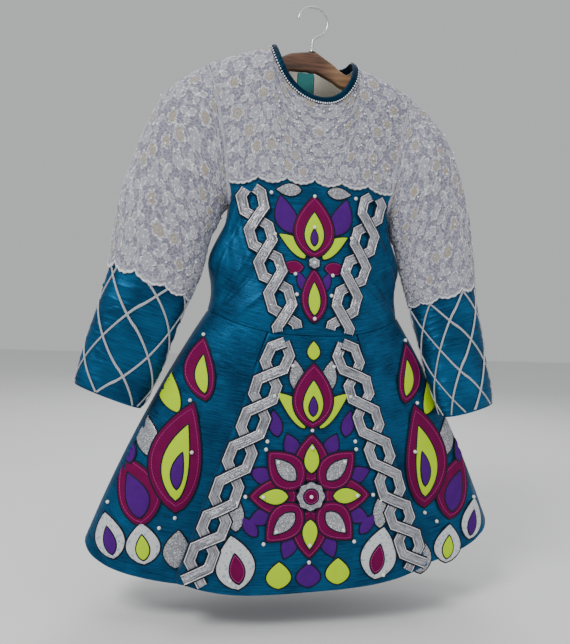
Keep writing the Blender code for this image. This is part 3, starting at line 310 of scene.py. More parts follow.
def crease_depth(x, z):
    """Soft creases that fan out below each arm, deepest in mid length and fading at both ends."""
    away = CREASE_ORIGIN_X - np.abs(x)
    down = CREASE_ORIGIN_Z - z
    reach_now = np.hypot(away, down)
    angle = np.degrees(np.arctan2(away, down))
    total = np.zeros_like(x)
    for middle, half, depth, reach in BODICE_CREASES:
        across = np.exp(-(((angle - middle) / half) ** 2))
        along = smooth_step(reach_now, 0.022, 0.060) * (1.0 - smooth_step(reach_now, 0.75 * reach, reach))
        total = total + depth * across * along
    return total


def pinch(z):
    """How far the body's sides are drawn in below the underarm, where the sleeve hangs in front."""
    below = smooth_step(-z, 0.300, 0.385)
    above = smooth_step(z, -0.298, -0.268)
    return UNDERARM_PINCH * (1.0 - below) * (1.0 - above)


def body_spot(share, z, front=True, creased=True):
    """A point of the body by its share of the half width and its height: a superellipse in plan."""
    share, z = np.broadcast_arrays(np.asarray(share, float), np.asarray(z, float))
    size = np.clip(np.abs(share), 0.0, 1.0)
    width = smooth_table(z, BODY_SECTIONS, 0, 1)
    depth = smooth_table(z, BODY_SECTIONS, 0, 2 if front else 3)
    x = np.sign(share) * size * width * (1.0 - pinch(z) * size**PINCH_POWER)
    below = np.clip((ridge_height(x) - z) / SHOULDER_ROUND, 0.0, 1.0)
    closing = np.sqrt(np.clip(1.0 - (1.0 - below) ** 2, 0.0, 1.0))
    rounding = np.clip(1.0 - size**BODY_POWER, 0.0, 1.0) ** (1.0 / BODY_POWER)
    y = depth * closing * rounding
    if front and creased:
        y = y + crease_depth(x, z) * smooth_step(rounding, 0.10, 0.45)
    return np.stack([x, -y if front else y, z + hang_tilt(x, z)], axis=-1)


def body_point(x, z, front=True, creased=True):
    """The same point found by x and height."""
    x, z = np.broadcast_arrays(np.asarray(x, float), np.asarray(z, float))
    width = smooth_table(z, BODY_SECTIONS, 0, 1)
    share = np.clip(np.abs(x) / width, 0.0, 1.0)
    for _ in range(8):
        share = np.clip(np.abs(x) / (width * (1.0 - pinch(z) * share**PINCH_POWER)), 0.0, 1.0)
    return body_spot(np.sign(x) * share, z, front, creased)


def surface_normals(point, u, v, step=1e-3):
    """Unit normals of a surface function, from its two slopes."""
    along_u = point(np.clip(u + step, 0, 1), v) - point(np.clip(u - step, 0, 1), v)
    along_v = point(u, np.clip(v + step, 0, 1)) - point(u, np.clip(v - step, 0, 1))
    normal = np.cross(along_u, along_v)
    return normal / np.maximum(np.linalg.norm(normal, axis=-1, keepdims=True), 1e-12)


def closed_normals(base, point, grid_u, grid_v, step=1e-3):
    """Normals of a tube: its first and last columns are neighbours."""
    along_u = point((grid_u + step) % 1.0, grid_v) - point((grid_u - step) % 1.0, grid_v)
    along_v = point(grid_u, np.clip(grid_v + step, 0, 1)) - point(grid_u, np.clip(grid_v - step, 0, 1))
    normal = np.cross(along_u, along_v)
    normal /= np.maximum(np.linalg.norm(normal, axis=-1, keepdims=True), 1e-12)
    centre = base.mean(axis=1, keepdims=True)
    facing = np.sign(np.sum(normal * (base - centre), axis=-1).sum())
    return normal * facing


def waist_height(x, front=True):
    """The waist seam dips to the centre of the front and runs nearly level round the back."""
    low = WAIST_CENTRE_Z if front else WAIST_BACK_Z
    return low + (WAIST_SIDE_Z - low) * np.clip(np.abs(x) / WAIST_HALF_WIDTH, 0.0, 1.0) ** WAIST_POWER


def neck_curve(across, inside, front=True):
    """The neckline, inside metres within its edge. across runs from -1 to 1.

    In front it is half a superellipse that hangs low. Behind, its depth from front to back is set, and
    its height is where the shoulder's rounding has that depth.
    """
    half = NECK_HALF_WIDTH - 0.90 * inside
    size = np.clip(np.abs(across), 0.0, 1.0)
    x = half * across
    if front:
        side = ridge_height(half)
        bottom = NECK_FRONT_Z + inside
        return x, side + (bottom - side) * (1.0 - size**NECK_POWER) ** (1.0 / NECK_POWER)
    depth = (NECK_BACK_DEPTH - NECK_BACK_SLOPE * inside) * (1.0 - size**2) ** 0.45
    width, full = smooth_table(-0.075, BODY_SECTIONS, 0, 1), smooth_table(-0.075, BODY_SECTIONS, 0, 3)
    rounding = (1.0 - (np.abs(x) / width) ** BODY_POWER) ** (1.0 / BODY_POWER)
    closing = np.clip(depth / (full * rounding), 0.0, 1.0)
    return x, ridge_height(x) - SHOULDER_ROUND * (1.0 - np.sqrt(1.0 - closing**2))


def armhole_spot(share):
    share = np.clip(share, 0.0, 1.0)
    return smooth_table(share, ARMHOLE, 0, 1), smooth_table(share, ARMHOLE, 0, 2)


def lower_body(across, v, front):
    """Bodice panel from the waist to its top edge: its side climbs the seam, then the armhole."""
    seam = SIDE_SEAM_ROWS / BODICE_ROWS
    arm_share = np.where(v < seam, 0.0, ARMHOLE_BODICE_SHARE * (v - seam) / (1.0 - seam))
    arm_width, arm_z = armhole_spot(arm_share)
    seam_z = WAIST_SIDE_Z + (UNDERARM_Z - WAIST_SIDE_Z) * np.clip(v / seam, 0.0, 1.0)
    side_share = np.where(v < seam, 1.0, arm_width)
    side_z = np.where(v < seam, seam_z, arm_z)
    share = np.sin(across * np.arcsin(side_share))
    low = waist_height(WAIST_HALF_WIDTH * share, front)
    middle_z = low + (BODICE_TOP_Z - low) * v
    pull = np.abs(across) ** 4
    side_low = WAIST_SIDE_Z + (BODICE_TOP_Z - WAIST_SIDE_Z) * v
    z = middle_z + (side_z - side_low) * pull
    return body_spot(share, z, front)


def scallops(across, count, depth):
    """A scalloped edge: rounded lobes that hang between sharp notches."""
    wave = np.abs(np.sin(np.pi * count * across))
    return -depth * wave**0.75


def upper_body(across, v, front, lobes):
    """Yoke panel from its scalloped edge to the neckline and the shoulder ridge."""
    arm_share, side_z = armhole_spot(ARMHOLE_YOKE_SHARE + (1.0 - ARMHOLE_YOKE_SHARE) * v)
    tip_share, tip_z = armhole_spot(np.array(1.0))
    low_z = armhole_spot(np.array(ARMHOLE_YOKE_SHARE))[1]
    tip_x = tip_share * smooth_table(tip_z, BODY_SECTIONS, 0, 1)
    size = np.abs(across)
    neck_part = 0.50
    turn = np.clip(size / neck_part, 0.0, 1.0) * np.pi / 2
    neck_x, neck_z = neck_curve(np.sin(turn), 0.0, front)
    shoulder_x = NECK_HALF_WIDTH + (tip_x - NECK_HALF_WIDTH) * np.clip((size - neck_part) / neck_part, 0, 1)
    in_neck = size < neck_part
    top_x = np.where(in_neck, neck_x, shoulder_x)
    top_z = np.where(in_neck, neck_z, ridge_height(shoulder_x) - 0.00005)
    top_share = top_x / smooth_table(top_z, BODY_SECTIONS, 0, 1)
    part = size * (1.0 - v) + top_share / tip_share * v
    bottom_z = YOKE_EDGE_Z + (low_z - YOKE_EDGE_Z) * size**6
    z = bottom_z + (top_z - bottom_z) * v
    z = z + (side_z - (low_z + (tip_z - low_z) * v)) * size**5
    z = z + lobes(across) * (1.0 - v) ** 6
    return body_spot(np.sign(across) * part * arm_share, z, front, creased=False)


def seamed(spot, front):
    """Half a seam's gap kept between the front and the back."""
    y = spot[..., 1]
    half = SEAM_GAP / 2
    spot[..., 1] = np.minimum(y, -half) if front else np.maximum(y, half)
    return spot


def back_across(u, side):
    """From the zip's edge to the side of one half of the back."""
    start = BACK_GAP_HALF / 0.140
    return side * (start + (1.0 - start) * u)


def armhole_ring(turn, side):
    """The sleeve's first ring, just clear of the armhole's edge, from the underarm round by the front."""
    front = turn < 0.5
    share = 1.0 - np.abs(1.0 - 2.0 * turn)
    share = share - 0.09 * np.sin(2.0 * np.pi * share)
    middle = SATIN / 2 + (SATIN / 2 + LAYER_GAP + LACE / 2) * smooth_step(share, 0.34, 0.46)
    rings = []
    for way in (True, False):
        def edge(position, inward=0.0, drop=0.0, way=way):
            width, z = armhole_spot(np.clip(position, 0.0, 1.0))
            return body_spot(side * width * (1.0 - inward), z - drop, way, creased=False)

        here = edge(share)
        along = edge(share + 0.01) - edge(share - 0.01)
        within = edge(share, 0.10, 0.02) - here
        normal = np.cross(edge(share, 0.01) - here, edge(share, 0.0, 0.001) - here)
        normal /= np.linalg.norm(normal, axis=-1, keepdims=True)
        lean = normal[..., 0:1] * side + normal[..., 1:2] * (-0.7 if way else 0.7) + normal[..., 2:3]
        normal = normal * np.where(lean < 0, -1.0, 1.0)
        normal[..., 1] *= 1.0 - np.clip(share, 0, 1) ** 12
        away = np.cross(along, normal)
        away /= np.linalg.norm(away, axis=-1, keepdims=True)
        away = away * -np.sign(np.sum(away * within, axis=-1, keepdims=True))
        moved = here + away * ARMHOLE_CLEARANCE + normal * middle[..., None]
        moved[..., 0] += side * TIP_CLEARANCE * share**8
        rings.append(moved)
    return np.where(front[..., None], rings[0], rings[1])


def sleeve_point(turn, v, table, side):
    """The sleeve's middle surface: v runs from the armhole at 0 to the cuff at 1."""
    rows = len(table)
    key = np.clip(v, 0.0, 1.0) * rows
    listed = tuple((index + 1.0,) + tuple(row) for index, row in enumerate(table))
    inner = [smooth_table(key, listed, 0, c) for c in (1, 2, 3)]
    outer = [smooth_table(key, listed, 0, c) for c in (4, 5, 6)]
    half_depth = smooth_table(key, listed, 0, 7)
    turned = np.where(key < 1.0, listed[0][8] * key, smooth_table(key, listed, 0, 8))
    angle = 2.0 * np.pi * turn
    fore = np.sign(np.cos(angle)) * np.abs(np.cos(angle)) ** (2.0 / SLEEVE_POWER)
    out = np.sign(np.sin(angle)) * np.abs(np.sin(angle)) ** (2.0 / SLEEVE_POWER)
    x, z, y = [(i + o) / 2 - (o - i) / 2 * fore for i, o in zip(inner, outer)]
    oval = np.stack([side * x, y - half_depth * out, z], axis=-1)
    ring = armhole_ring(turn, side)
    return ring + (oval - ring) * np.clip(turned, 0.0, 1.0)[..., None]


def skirt_half_width(t):
    return WAIST_HALF_WIDTH + (HEM_HALF_WIDTH - WAIST_HALF_WIDTH) * t + SKIRT_BULGE * 4.0 * t * (1.0 - t)


def ring_depth(share, t, front):
    """Depth of the skirt's ring, front or back, before the front panel stands out from it."""
    seam = waist_height(WAIST_HALF_WIDTH * share, front)
    top = smooth_table(seam, BODY_SECTIONS, 0, 2 if front else 3)
    low = HEM_RING_FRONT if front else HEM_RING_BACK
    power = BODY_POWER + (HEM_RING_POWER - BODY_POWER) * t
    return (top + (low - top) * t) * np.clip(1.0 - np.abs(share) ** power, 0.0, 1.0) ** (1.0 / power)


def skirt_ring(share, t, front=True):
    """A point of the skirt by its share of the half width and its share of the way to the hem."""
    share, t = np.broadcast_arrays(np.asarray(share, float), np.asarray(t, float))
    x = skirt_half_width(t) * share
    depth = ring_depth(share, t, front)
    top = waist_height(WAIST_HALF_WIDTH * share, front) - SKIRT_SEAM
    fall = HEM_SIDE_FALL if front else HEM_BACK_FALL
    hem = HEM_SIDE_Z - fall * np.sqrt(np.clip(1.0 - share**2, 0.0, 1.0)) + HEM_LEAN * HEM_HALF_WIDTH * share
    return np.stack([x, -depth if front else depth, top + (hem - top) * t], axis=-1)


def pleat_x(t):
    return PLEAT_WAIST_X + (PLEAT_HEM_X - PLEAT_WAIST_X) * t


def panel_proud(t):
    return PANEL_PROUD * np.clip(t, 0.0, 1.0) ** PANEL_PROUD_POWER


def face_spot(share, t):
    """A point of the front panel's face: share -1 to 1 between its folds."""
    share, t = np.broadcast_arrays(np.asarray(share, float), np.asarray(t, float))
    x = pleat_x(t) * share
    y = -ring_depth(x / skirt_half_width(t), t, True) - panel_proud(t)
    top = waist_height(PLEAT_WAIST_X * share) - SKIRT_SEAM
    hem = HEM_CENTRE_Z + HEM_PLEAT_RISE * np.clip(np.abs(share), 0, 1) ** HEM_PLEAT_POWER
    hem = hem + HEM_LEAN * PLEAT_HEM_X * share
    return np.stack([x, y, top + (hem - top) * t], axis=-1)


def front_panel(u, t):
    """The front panel: its face, a rounded fold at each side and a return that goes back to the skirt."""
    across = 2.0 * u - 1.0
    size, side = np.abs(across), np.sign(across)
    radius = PLEAT_ROUND_WAIST + (PLEAT_ROUND_HEM - PLEAT_ROUND_WAIST) * t
    edge = 1.0 - radius / pleat_x(t)
    face_share = np.clip(size / FACE_SHARE, 0.0, 1.0) * edge
    spot = face_spot(side * face_share, t)
    bend = np.clip((size - FACE_SHARE) / (ROUND_SHARE - FACE_SHARE), 0.0, 1.0) * np.pi / 2
    back = np.clip((size - ROUND_SHARE) / (1.0 - ROUND_SHARE), 0.0, 1.0)
    ring_y = -ring_depth(pleat_x(t) / skirt_half_width(t), t, True)
    edge_y = face_spot(edge, t)[..., 1] + radius
    reach = np.maximum(ring_y - SKIRT_CLOTH - RETURN_GAP - edge_y, RETURN_LEAST)
    spot[..., 0] += side * radius * np.sin(bend)
    spot[..., 1] += radius * (1.0 - np.cos(bend)) + reach * back
    return spot


def side_panel(u, t, side):
    """A side panel: it slides behind the front panel's fold and runs to the side seam."""
    start = pleat_x(t) + PLEAT_BUTT - (PLEAT_BUTT + PLEAT_TUCK) * smooth_step(t, *PLEAT_SLIDE)
    first = np.arcsin(start / skirt_half_width(t))
    share = np.sin(first + (np.pi / 2 - first) * u)
    return seamed(skirt_ring(side * share, t, True), True)


def back_panel(u, t, side):
    """Half of the skirt's back, parted over the zip and seamed below it."""
    gap = BACK_GAP_HALF + (SEAM_GAP / 2 - BACK_GAP_HALF) * smooth_step(t, 0.37, 0.50)
    first = np.arcsin(gap / skirt_half_width(t))
    share = np.sin(first + (np.pi / 2 - first) * u)
    return seamed(skirt_ring(side * share, t, False), False)


def body_surface(x, z):
    return body_point(x, z, True, creased=False)


def face_surface(x, z):
    """The front panel's face found by x and height."""
    t = np.clip((WAIST_CENTRE_Z - z) / (WAIST_CENTRE_Z - HEM_CENTRE_Z), 0.0, 1.0)
    for _ in range(6):
        spot = face_spot(x / pleat_x(t), t)
        t = t + (spot[..., 2] - z) / 0.34
    return face_spot(x / pleat_x(t), t)


def back_line(z):
    """Depth of the centre back at a height, on the bodice or on the skirt."""
    z = np.asarray(z, float)
    bodice = body_spot(np.zeros_like(z), np.maximum(z, WAIST_BACK_Z), False)[..., 1]
    t = np.clip((WAIST_BACK_Z - z) / (WAIST_BACK_Z - HEM_SIDE_Z + HEM_BACK_FALL), 0.0, 1.0)
    skirt = skirt_ring(np.zeros_like(z), t, False)[..., 1]
    return np.where(z > WAIST_BACK_Z, bodice, skirt)


def strand_line(centre, steps, phase):
    """The flat line of a strand, and how near it passes over the other: it slants across the centre line at
    each crossing, and runs upright beside it between its corners. It goes over where it slants outwards."""
    table = tuple((step,) + tuple(spot) for step, spot in enumerate(centre))
    path = np.stack([smooth_table(steps, table, 0, 1), smooth_table(steps, table, 0, 2)], axis=1)
    slope = np.gradient(path, steps, axis=0)
    slope /= np.linalg.norm(slope, axis=1, keepdims=True)
    across = np.stack([-slope[:, 1], slope[:, 0]], axis=1)
    wave = 1.0 - 2.0 * np.abs((steps + 0.5) % 2.0 - 1.0)
    swing = BRAID_SWING * np.clip(wave / (2.0 * STRAND_CORNER), -1.0, 1.0) * phase
    nearest = np.round(steps)
    outwards = (nearest % 2 == 0) == (phase * centre[0][0] > 0)
    near = 1.0 - smooth_step(np.abs(steps - nearest), OVER_FULL, OVER_NONE)
    return path + across * swing[:, None], near * outwards


def wander(u, v, seed, across, down, closed=False):
    """Smooth noise from -1 to 1: seeded numbers on a lattice, joined by a smooth step both ways."""
    knots = np.random.default_rng(seed).uniform(-1.0, 1.0, (down + 2, across + 2))
    if closed:
        knots[:, across:] = knots[:, :2]
    x, y = np.clip(u, 0.0, 1.0) * across, np.clip(v, 0.0, 1.0) * down
    column_at, row_at = np.floor(x).astype(int), np.floor(y).astype(int)
    fx, fy = x - column_at, y - row_at
    fx, fy = fx * fx * (3.0 - 2.0 * fx), fy * fy * (3.0 - 2.0 * fy)
    upper = knots[row_at, column_at] * (1.0 - fx) + knots[row_at, column_at + 1] * fx
    lower = knots[row_at + 1, column_at] * (1.0 - fx) + knots[row_at + 1, column_at + 1] * fx
    return upper * (1.0 - fy) + lower * fy


def hill(value, middle, half):
    """A bell: 1 at the middle, and falling by the square of the distance over half."""
    return np.exp(-(((value - middle) / half) ** 2))


def finished(name, points, faces, finish, params=None, size=(1.0, 1.0), marks=None, smooth=True):
    """One mesh object with its faces turned out. params are each point's two shares, kept as a UV in metres,
    and marks are numbers for each point that its material reads. A tube's last column runs on past 1."""
    mesh = bpy.data.meshes.new(name)
    mesh.from_pydata(np.asarray(points, float).tolist(), [], faces)
    work = bmesh.new()
    work.from_mesh(mesh)
    bmesh.ops.recalc_face_normals(work, faces=work.faces[:])
    work.to_mesh(mesh)
    work.free()
    if params is not None:
        corner = np.empty(len(mesh.loops), dtype=np.int64)
        mesh.loops.foreach_get("vertex_index", corner)
        starts = np.empty(len(mesh.polygons), dtype=np.int64)
        mesh.polygons.foreach_get("loop_start", starts)
        counts = np.diff(np.append(starts, len(corner)))
        flat = np.asarray(params, float)[corner]
        widest = np.maximum.reduceat(flat[:, 0], starts)
        least = np.minimum.reduceat(flat[:, 0], starts)
        wraps = np.repeat(widest - least > 0.5, counts)
        flat[:, 0] += np.where(wraps & (flat[:, 0] < 0.5), 1.0, 0.0)
        layer = mesh.uv_layers.new(name="cloth")
        layer.data.foreach_set("uv", (flat * np.array(size)).ravel())
    for key, values in (marks or {}).items():
        mark = mesh.attributes.new(key, "FLOAT", "POINT")
        mark.data.foreach_set("value", np.asarray(values, float).ravel())
    made = bpy.data.objects.new(name, mesh)
    bpy.context.scene.collection.objects.link(made)
    mesh.materials.append(finish)
    if smooth:
        mesh.shade_smooth()
        mesh.set_sharp_from_angle(angle=math.radians(50))
    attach(made, DRESS)
    return made


def quads(rows, columns, start, closed):
    """Quads between the rows and columns of a grid whose points begin at start."""
    last = columns if closed else columns - 1
    r, c = np.meshgrid(np.arange(rows - 1), np.arange(last), indexing="ij")
    d = (c + 1) % columns
    corners = (r * columns + c, r * columns + d, (r + 1) * columns + d, (r + 1) * columns + c)
    return (np.stack(corners, axis=-1).reshape(-1, 4) + start).tolist()


def edge_strip(fine, coarse, ratio, closed):
    """One polygon for each coarse step of an edge, with all the fine points that face it."""
    steps = len(coarse) if closed else len(coarse) - 1
    faces = []
    for c in range(steps):
        far = [fine[(c * ratio + k) % len(fine)] for k in range(ratio + 1)]
        faces.append([coarse[(c + 1) % len(coarse)], coarse[c]] + far)
    return faces


def cloth_wall(name, point, shape, cloth, finish, size, layer=0.0, closed=False, outward=1.0, drape=None,
               relief=None, level=0.0, marks=None, coarse=3):
    """A wall of cloth: the surface point(u, v), moved out along its normals by its layer and its drape, and
    on its outer side also by its thickness and its relief. The inner side has coarser steps."""
    across, down = shape
    sides = []
    for step, rise in ((1, cloth), (coarse, 0.0)):
        columns = across // step + (0 if closed else 1)
        grid_u, grid_v = np.meshgrid(np.arange(columns) * step / across, np.arange(down // step + 1) * step
                                     / down)
        base = point(grid_u, grid_v)
        normal = (closed_normals(base, point, grid_u, grid_v) if closed
                  else surface_normals(point, grid_u, grid_v)) * outward
        if level:
            normal[..., 2] *= smooth_step(grid_v, 0.0, level)
            normal /= np.linalg.norm(normal, axis=-1, keepdims=True)
        lift = (layer(grid_u, grid_v) if callable(layer) else layer) + np.full_like(grid_u, rise)
        if drape is not None:
            lift = lift + drape(grid_u, grid_v)
        if relief is not None and rise:
            lift = lift + relief(grid_u, grid_v)
        sides.append((base + normal * lift[..., None], grid_u, grid_v))
    (outer, out_u, out_v), (inner, in_u, in_v) = sides
    rows_out, cols_out = out_u.shape
    rows_in, cols_in = in_u.shape
    start = rows_out * cols_out
    faces = quads(rows_out, cols_out, 0, closed) + quads(rows_in, cols_in, start, closed)
    faces += edge_strip(list(range(cols_out)), [start + c for c in range(cols_in)], coarse, closed)
    faces += edge_strip([(rows_out - 1) * cols_out + c for c in range(cols_out)],
                        [start + (rows_in - 1) * cols_in + c for c in range(cols_in)], coarse, closed)
    if not closed:
        for at_out, at_in in ((0, 0), (cols_out - 1, cols_in - 1)):
            faces += edge_strip([r * cols_out + at_out for r in range(rows_out)],
                                [start + r * cols_in + at_in for r in range(rows_in)], coarse, False)
    points = np.concatenate([outer.reshape(-1, 3), inner.reshape(-1, 3)])
    params = np.concatenate([np.stack([out_u, out_v], -1).reshape(-1, 2),
                             np.stack([in_u, in_v], -1).reshape(-1, 2)])
    found = {"inner": np.concatenate([np.zeros(start), np.ones(rows_in * cols_in)])}
    for key, values in (marks(out_u, out_v) if marks else {}).items():
        found[key] = np.concatenate([np.broadcast_to(values, out_u.shape).ravel(),
                                     np.zeros(rows_in * cols_in)])
    return finished(name, points, faces, finish, params, size, found)


def lifted(surface, flat, rise, way=1.0):
    """Points given by two coordinates, set on a surface and lifted along its outward normal."""
    a, b = flat[..., 0], flat[..., 1]
    step = 0.002
    along_a = surface(a + step, b) - surface(a - step, b)
    along_b = surface(a, b + step) - surface(a, b - step)
    normal = np.cross(along_a, along_b) * way
    normal /= np.maximum(np.linalg.norm(normal, axis=-1, keepdims=True), 1e-12)
    return surface(a, b) + normal * np.broadcast_to(rise, a.shape)[..., None]


def path_sides(line, looped=False):
    """The sideways direction at each point of a flat line, longer at a corner so that a strip keeps its
    width, and the distance gone along the line."""
    closed_line = np.concatenate([line, line[:1]]) if looped else line
    run = np.diff(closed_line, axis=0)
    run /= np.maximum(np.linalg.norm(run, axis=1, keepdims=True), 1e-9)
    ahead = run if looped else np.concatenate([run, run[-1:]])
    middle = ahead + (np.roll(run, 1, axis=0) if looped else np.concatenate([run[:1], run]))
    middle /= np.maximum(np.linalg.norm(middle, axis=1, keepdims=True), 1e-9)
    reach = 1.0 / np.clip((middle * ahead).sum(axis=1), 0.75, 1.0)
    gone = np.concatenate([[0.0], np.cumsum(np.linalg.norm(np.diff(line, axis=0), axis=1))])
    return np.stack([-middle[:, 1], middle[:, 0]], axis=1) * reach[:, None], gone


def strip(surface, line, section, base=0.0, width=1.0, looped=False, way=1.0):
    """A closed section carried along a flat line on a surface. Each row of the section has a distance to
    the side, a height and a mark; width scales the distances and base is added to the heights."""
    line = np.asarray(line, float)
    section = np.asarray(section, float)
    sideways, gone = path_sides(line, looped)
    width = np.broadcast_to(width, len(line))
    offsets = section[None, :, 0] * width[:, None]
    flat = line[:, None, :] + sideways[:, None, :] * offsets[..., None]
    rise = np.broadcast_to(base, len(line))[:, None] + section[None, :, 1]
    points = lifted(surface, flat, rise, way).reshape(-1, 3)
    rows, count = len(line), len(section)
    around = quads(rows, count, 0, True)
    if looped:
        k = np.arange(count)
        n = (k + 1) % count
        last = (rows - 1) * count
        around += np.stack([last + k, last + n, n, k], axis=-1).tolist()
    else:
        around += [list(range(count)), [(rows - 1) * count + k for k in range(count)]]
    params = np.stack([np.repeat(gone, count), offsets.ravel()], axis=-1)
    return points, around, params, np.tile(section[:, 2], rows)


def gathered(pieces):
    """Several meshes as one: points, faces, flat coordinates and marks."""
    start, points, faces, params, marks = 0, [], [], [], []
    for more, joined, flat, mark in pieces:
        points.append(more)
        faces += [[index + start for index in face] for face in joined]
        params.append(flat)
        marks.append(mark)
        start += len(more)
    return np.concatenate(points), faces, np.concatenate(params), np.concatenate(marks)


def made_of(name, pieces, finish, smooth=True):
    points, faces, params, mark = gathered(pieces)
    return finished(name, points, faces, finish, params, (1.0, 1.0), {"mark": mark}, smooth)


def round_section(radius, sides=6, height=0.0, mark=0.0):
    """A circle, as offsets to the side and upwards."""
    turn = 2.0 * np.pi * np.arange(sides) / sides
    return np.stack([radius * np.cos(turn), height + radius * np.sin(turn), np.full(sides, mark)], axis=-1)


def patch(surface, outline, base, high, way=1.0):
    """A padded patch: rings from its middle out to its outline, its top high (1 - r^7)^(1/2) above base."""
    shares = np.array([0.02, 0.40, 0.70, 0.88, 0.96, 1.0, 1.0, 0.02])
    heights = base + high * np.sqrt(1.0 - np.minimum(shares, 1.0) ** 7)
    heights[-2:] = base - 0.0004
    middle = outline.mean(axis=0)
    flat = middle + shares[:, None, None] * (outline - middle)[None]
    points = lifted(surface, flat, heights[:, None] * np.ones(len(outline)), way).reshape(-1, 3)
    rows, count = len(shares), len(outline)
    faces = quads(rows, count, 0, True) + [list(range(count)), [(rows - 1) * count + k for k in range(count)]]
    return points, faces, flat.reshape(-1, 2), np.repeat(shares > 0.93, count).astype(float)


def ball_grid(sides=8, rows=5):
    """A small round bead about the origin, of radius 1."""
    turn, rise = np.meshgrid(2.0 * np.pi * np.arange(sides) / sides, np.linspace(-1.35, 1.35, rows))
    points = np.stack([np.cos(turn) * np.cos(rise), np.sin(turn) * np.cos(rise), np.sin(rise)], axis=-1)
    faces = quads(rows, sides, 0, True) + [list(range(sides)), [(rows - 1) * sides + k for k in range(sides)]]
    return points.reshape(-1, 3), faces


def beads(name, centres, radius, finish, sides=8, rows=5):
    """A bead at each centre, all in one mesh."""
    points, faces = ball_grid(sides, rows)
    centres = np.asarray(centres, float)
    radius = np.broadcast_to(radius, len(centres))
    spread = centres[:, None, :] + points[None] * radius[:, None, None]
    all_faces = []
    for index in range(len(centres)):
        shift = index * len(points)
        all_faces += [[k + shift for k in face] for face in faces]
    return finished(name, spread.reshape(-1, 3), all_faces, finish)


# Materials


class Value:
    """A socket in a material's nodes: arithmetic on it adds Math nodes."""

    def __init__(self, finish, socket):
        self.finish = finish
        self.socket = socket

    def apply(self, operation, first, second=None, clamp=False):
        values = {0: first} if second is None else {0: first, 1: second}
        return self.finish.node("ShaderNodeMath", {"operation": operation, "use_clamp": clamp}, values)

    def __add__(self, other):
        return self.apply("ADD", self, other)

    __radd__ = __add__

    def __sub__(self, other):
        return self.apply("SUBTRACT", self, other)

    def __rsub__(self, other):
        return self.apply("SUBTRACT", other, self)

    def __mul__(self, other):
        return self.apply("MULTIPLY", self, other)

    __rmul__ = __mul__

    def __truediv__(self, other):
        return self.apply("DIVIDE", self, other)

    def __rtruediv__(self, other):
        return self.apply("DIVIDE", other, self)

    def __pow__(self, other):
        return self.apply("POWER", self, other)

    def __gt__(self, other):
        return self.apply("GREATER_THAN", self, other)

    def __lt__(self, other):
        return self.apply("LESS_THAN", self, other)

    def larger(self, other):
        return self.apply("MAXIMUM", self, other)

    def clamped(self):
        return self.apply("ADD", self, 0.0, clamp=True)

    def wave(self):
        return self.apply("SINE", self) * 0.5 + 0.5

    def ramped(self, low, high):
        """0 below low and 1 above high, with a smooth rise between."""
        return self.finish.node("ShaderNodeMapRange", {"interpolation_type": "SMOOTHSTEP"},
                                {0: self, 1: low, 2: high, 3: 0.0, 4: 1.0})


class Finish:
    """A material in the making: its nodes and its Principled shader, whose plain values are set first."""

    def __init__(self, name, **plain):
        self.material = bpy.data.materials.new(name)
        self.material.use_nodes = True
        self.tree = self.material.node_tree
        self.shader = self.tree.nodes["Principled BSDF"]
        for key, value in plain.items():
            self.shader.inputs[key.replace("_", " ")].default_value = value
        self.spot = self.node("ShaderNodeTexCoord", output="Object")
        self.flat = self.node("ShaderNodeTexCoord", output="UV")

    def node(self, kind, settings=None, values=None, output=0):
        """Adds a node: its settings first, then the values or links of its sockets."""
        made = self.tree.nodes.new(kind)
        for key, setting in (settings or {}).items():
            setattr(made, key, setting)
        for key, value in (values or {}).items():
            if isinstance(value, Value):
                self.tree.links.new(value.socket, made.inputs[key])
            else:
                made.inputs[key].default_value = value
        return Value(self, made.outputs[output])

    def mark(self, name):
        return self.node("ShaderNodeAttribute", {"attribute_name": name}, output="Fac")

    def scaled(self, place, x, y, z=1.0):
        return self.node("ShaderNodeVectorMath", {"operation": "MULTIPLY"}, {0: place, 1: (x, y, z)})

    def part_of(self, place, axis):
        return self.node("ShaderNodeSeparateXYZ", values={0: place}, output=axis)

    def noise(self, place, scale, detail=2.0, rough=0.5):
        return self.node("ShaderNodeTexNoise", values={"Vector": place, "Scale": scale, "Detail": detail,
                                                        "Roughness": rough})

    def cells(self, place, scale, feature="F1", spread=1.0, output="Distance"):
        return self.node("ShaderNodeTexVoronoi", {"feature": feature},
                         {"Vector": place, "Scale": scale, "Randomness": spread}, output)

    def mix(self, factor, first, second):
        return self.node("ShaderNodeMix", {"data_type": "RGBA"}, {0: factor, 6: first, 7: second}, 2)

    def bump(self, height, distance, strength=1.0):
        return self.node("ShaderNodeBump",
                         values={"Height": height, "Distance": distance, "Strength": strength})

    def feed(self, socket, value):
        self.tree.links.new(value.socket, self.shader.inputs[socket])


def tone(red, green, blue):
    return (red, green, blue, 1.0)


def slub_satin(name, deep, lit, sheen=0.04, slub=0.5, rough=0.36, crush=6.0, across="flat"):
    """Dupion: fine threads both ways with thick slubs along the weft, and soft patches. The colour runs
    between a shaded and a lit tone of the cloth by the slubs and patches: partly the cloth's own slubs,
    partly painted shade and light.
    """
    made = Finish(name, Sheen_Weight=sheen, Sheen_Roughness=0.35, Specular_IOR_Level=0.1, Metallic=0.55)
    place = made.flat if across == "flat" else made.spot
    long_slub = made.noise(made.scaled(place, 28.0, 900.0, 700.0), 1.0, 2.0, 0.6)
    short_slub = made.noise(made.scaled(place, 150.0, 2600.0, 2600.0), 1.0, 1.0)
    patches = made.noise(made.spot, 22.0, 2.0)
    crumple = made.noise(made.scaled(made.spot, 34.0, 34.0, 52.0), 1.0, 3.0, 0.55) - 0.5
    ridge = crumple.larger(0.0 - crumple)
    shade = (long_slub * 0.55 + short_slub * 0.25 + patches * 0.35 - 0.1).ramped(0.25, 0.75)
    # partly painted shade and light: slubs and patches mix a shaded and a lit tone of the cloth
    made.feed("Base Color", made.mix(shade, deep, lit))
    made.feed("Roughness", rough + 0.04 + long_slub * 0.16)
    height = long_slub * slub + short_slub * 0.35 - ridge * crush
    made.feed("Normal", made.bump(height, 0.0005, 0.55))
    return made


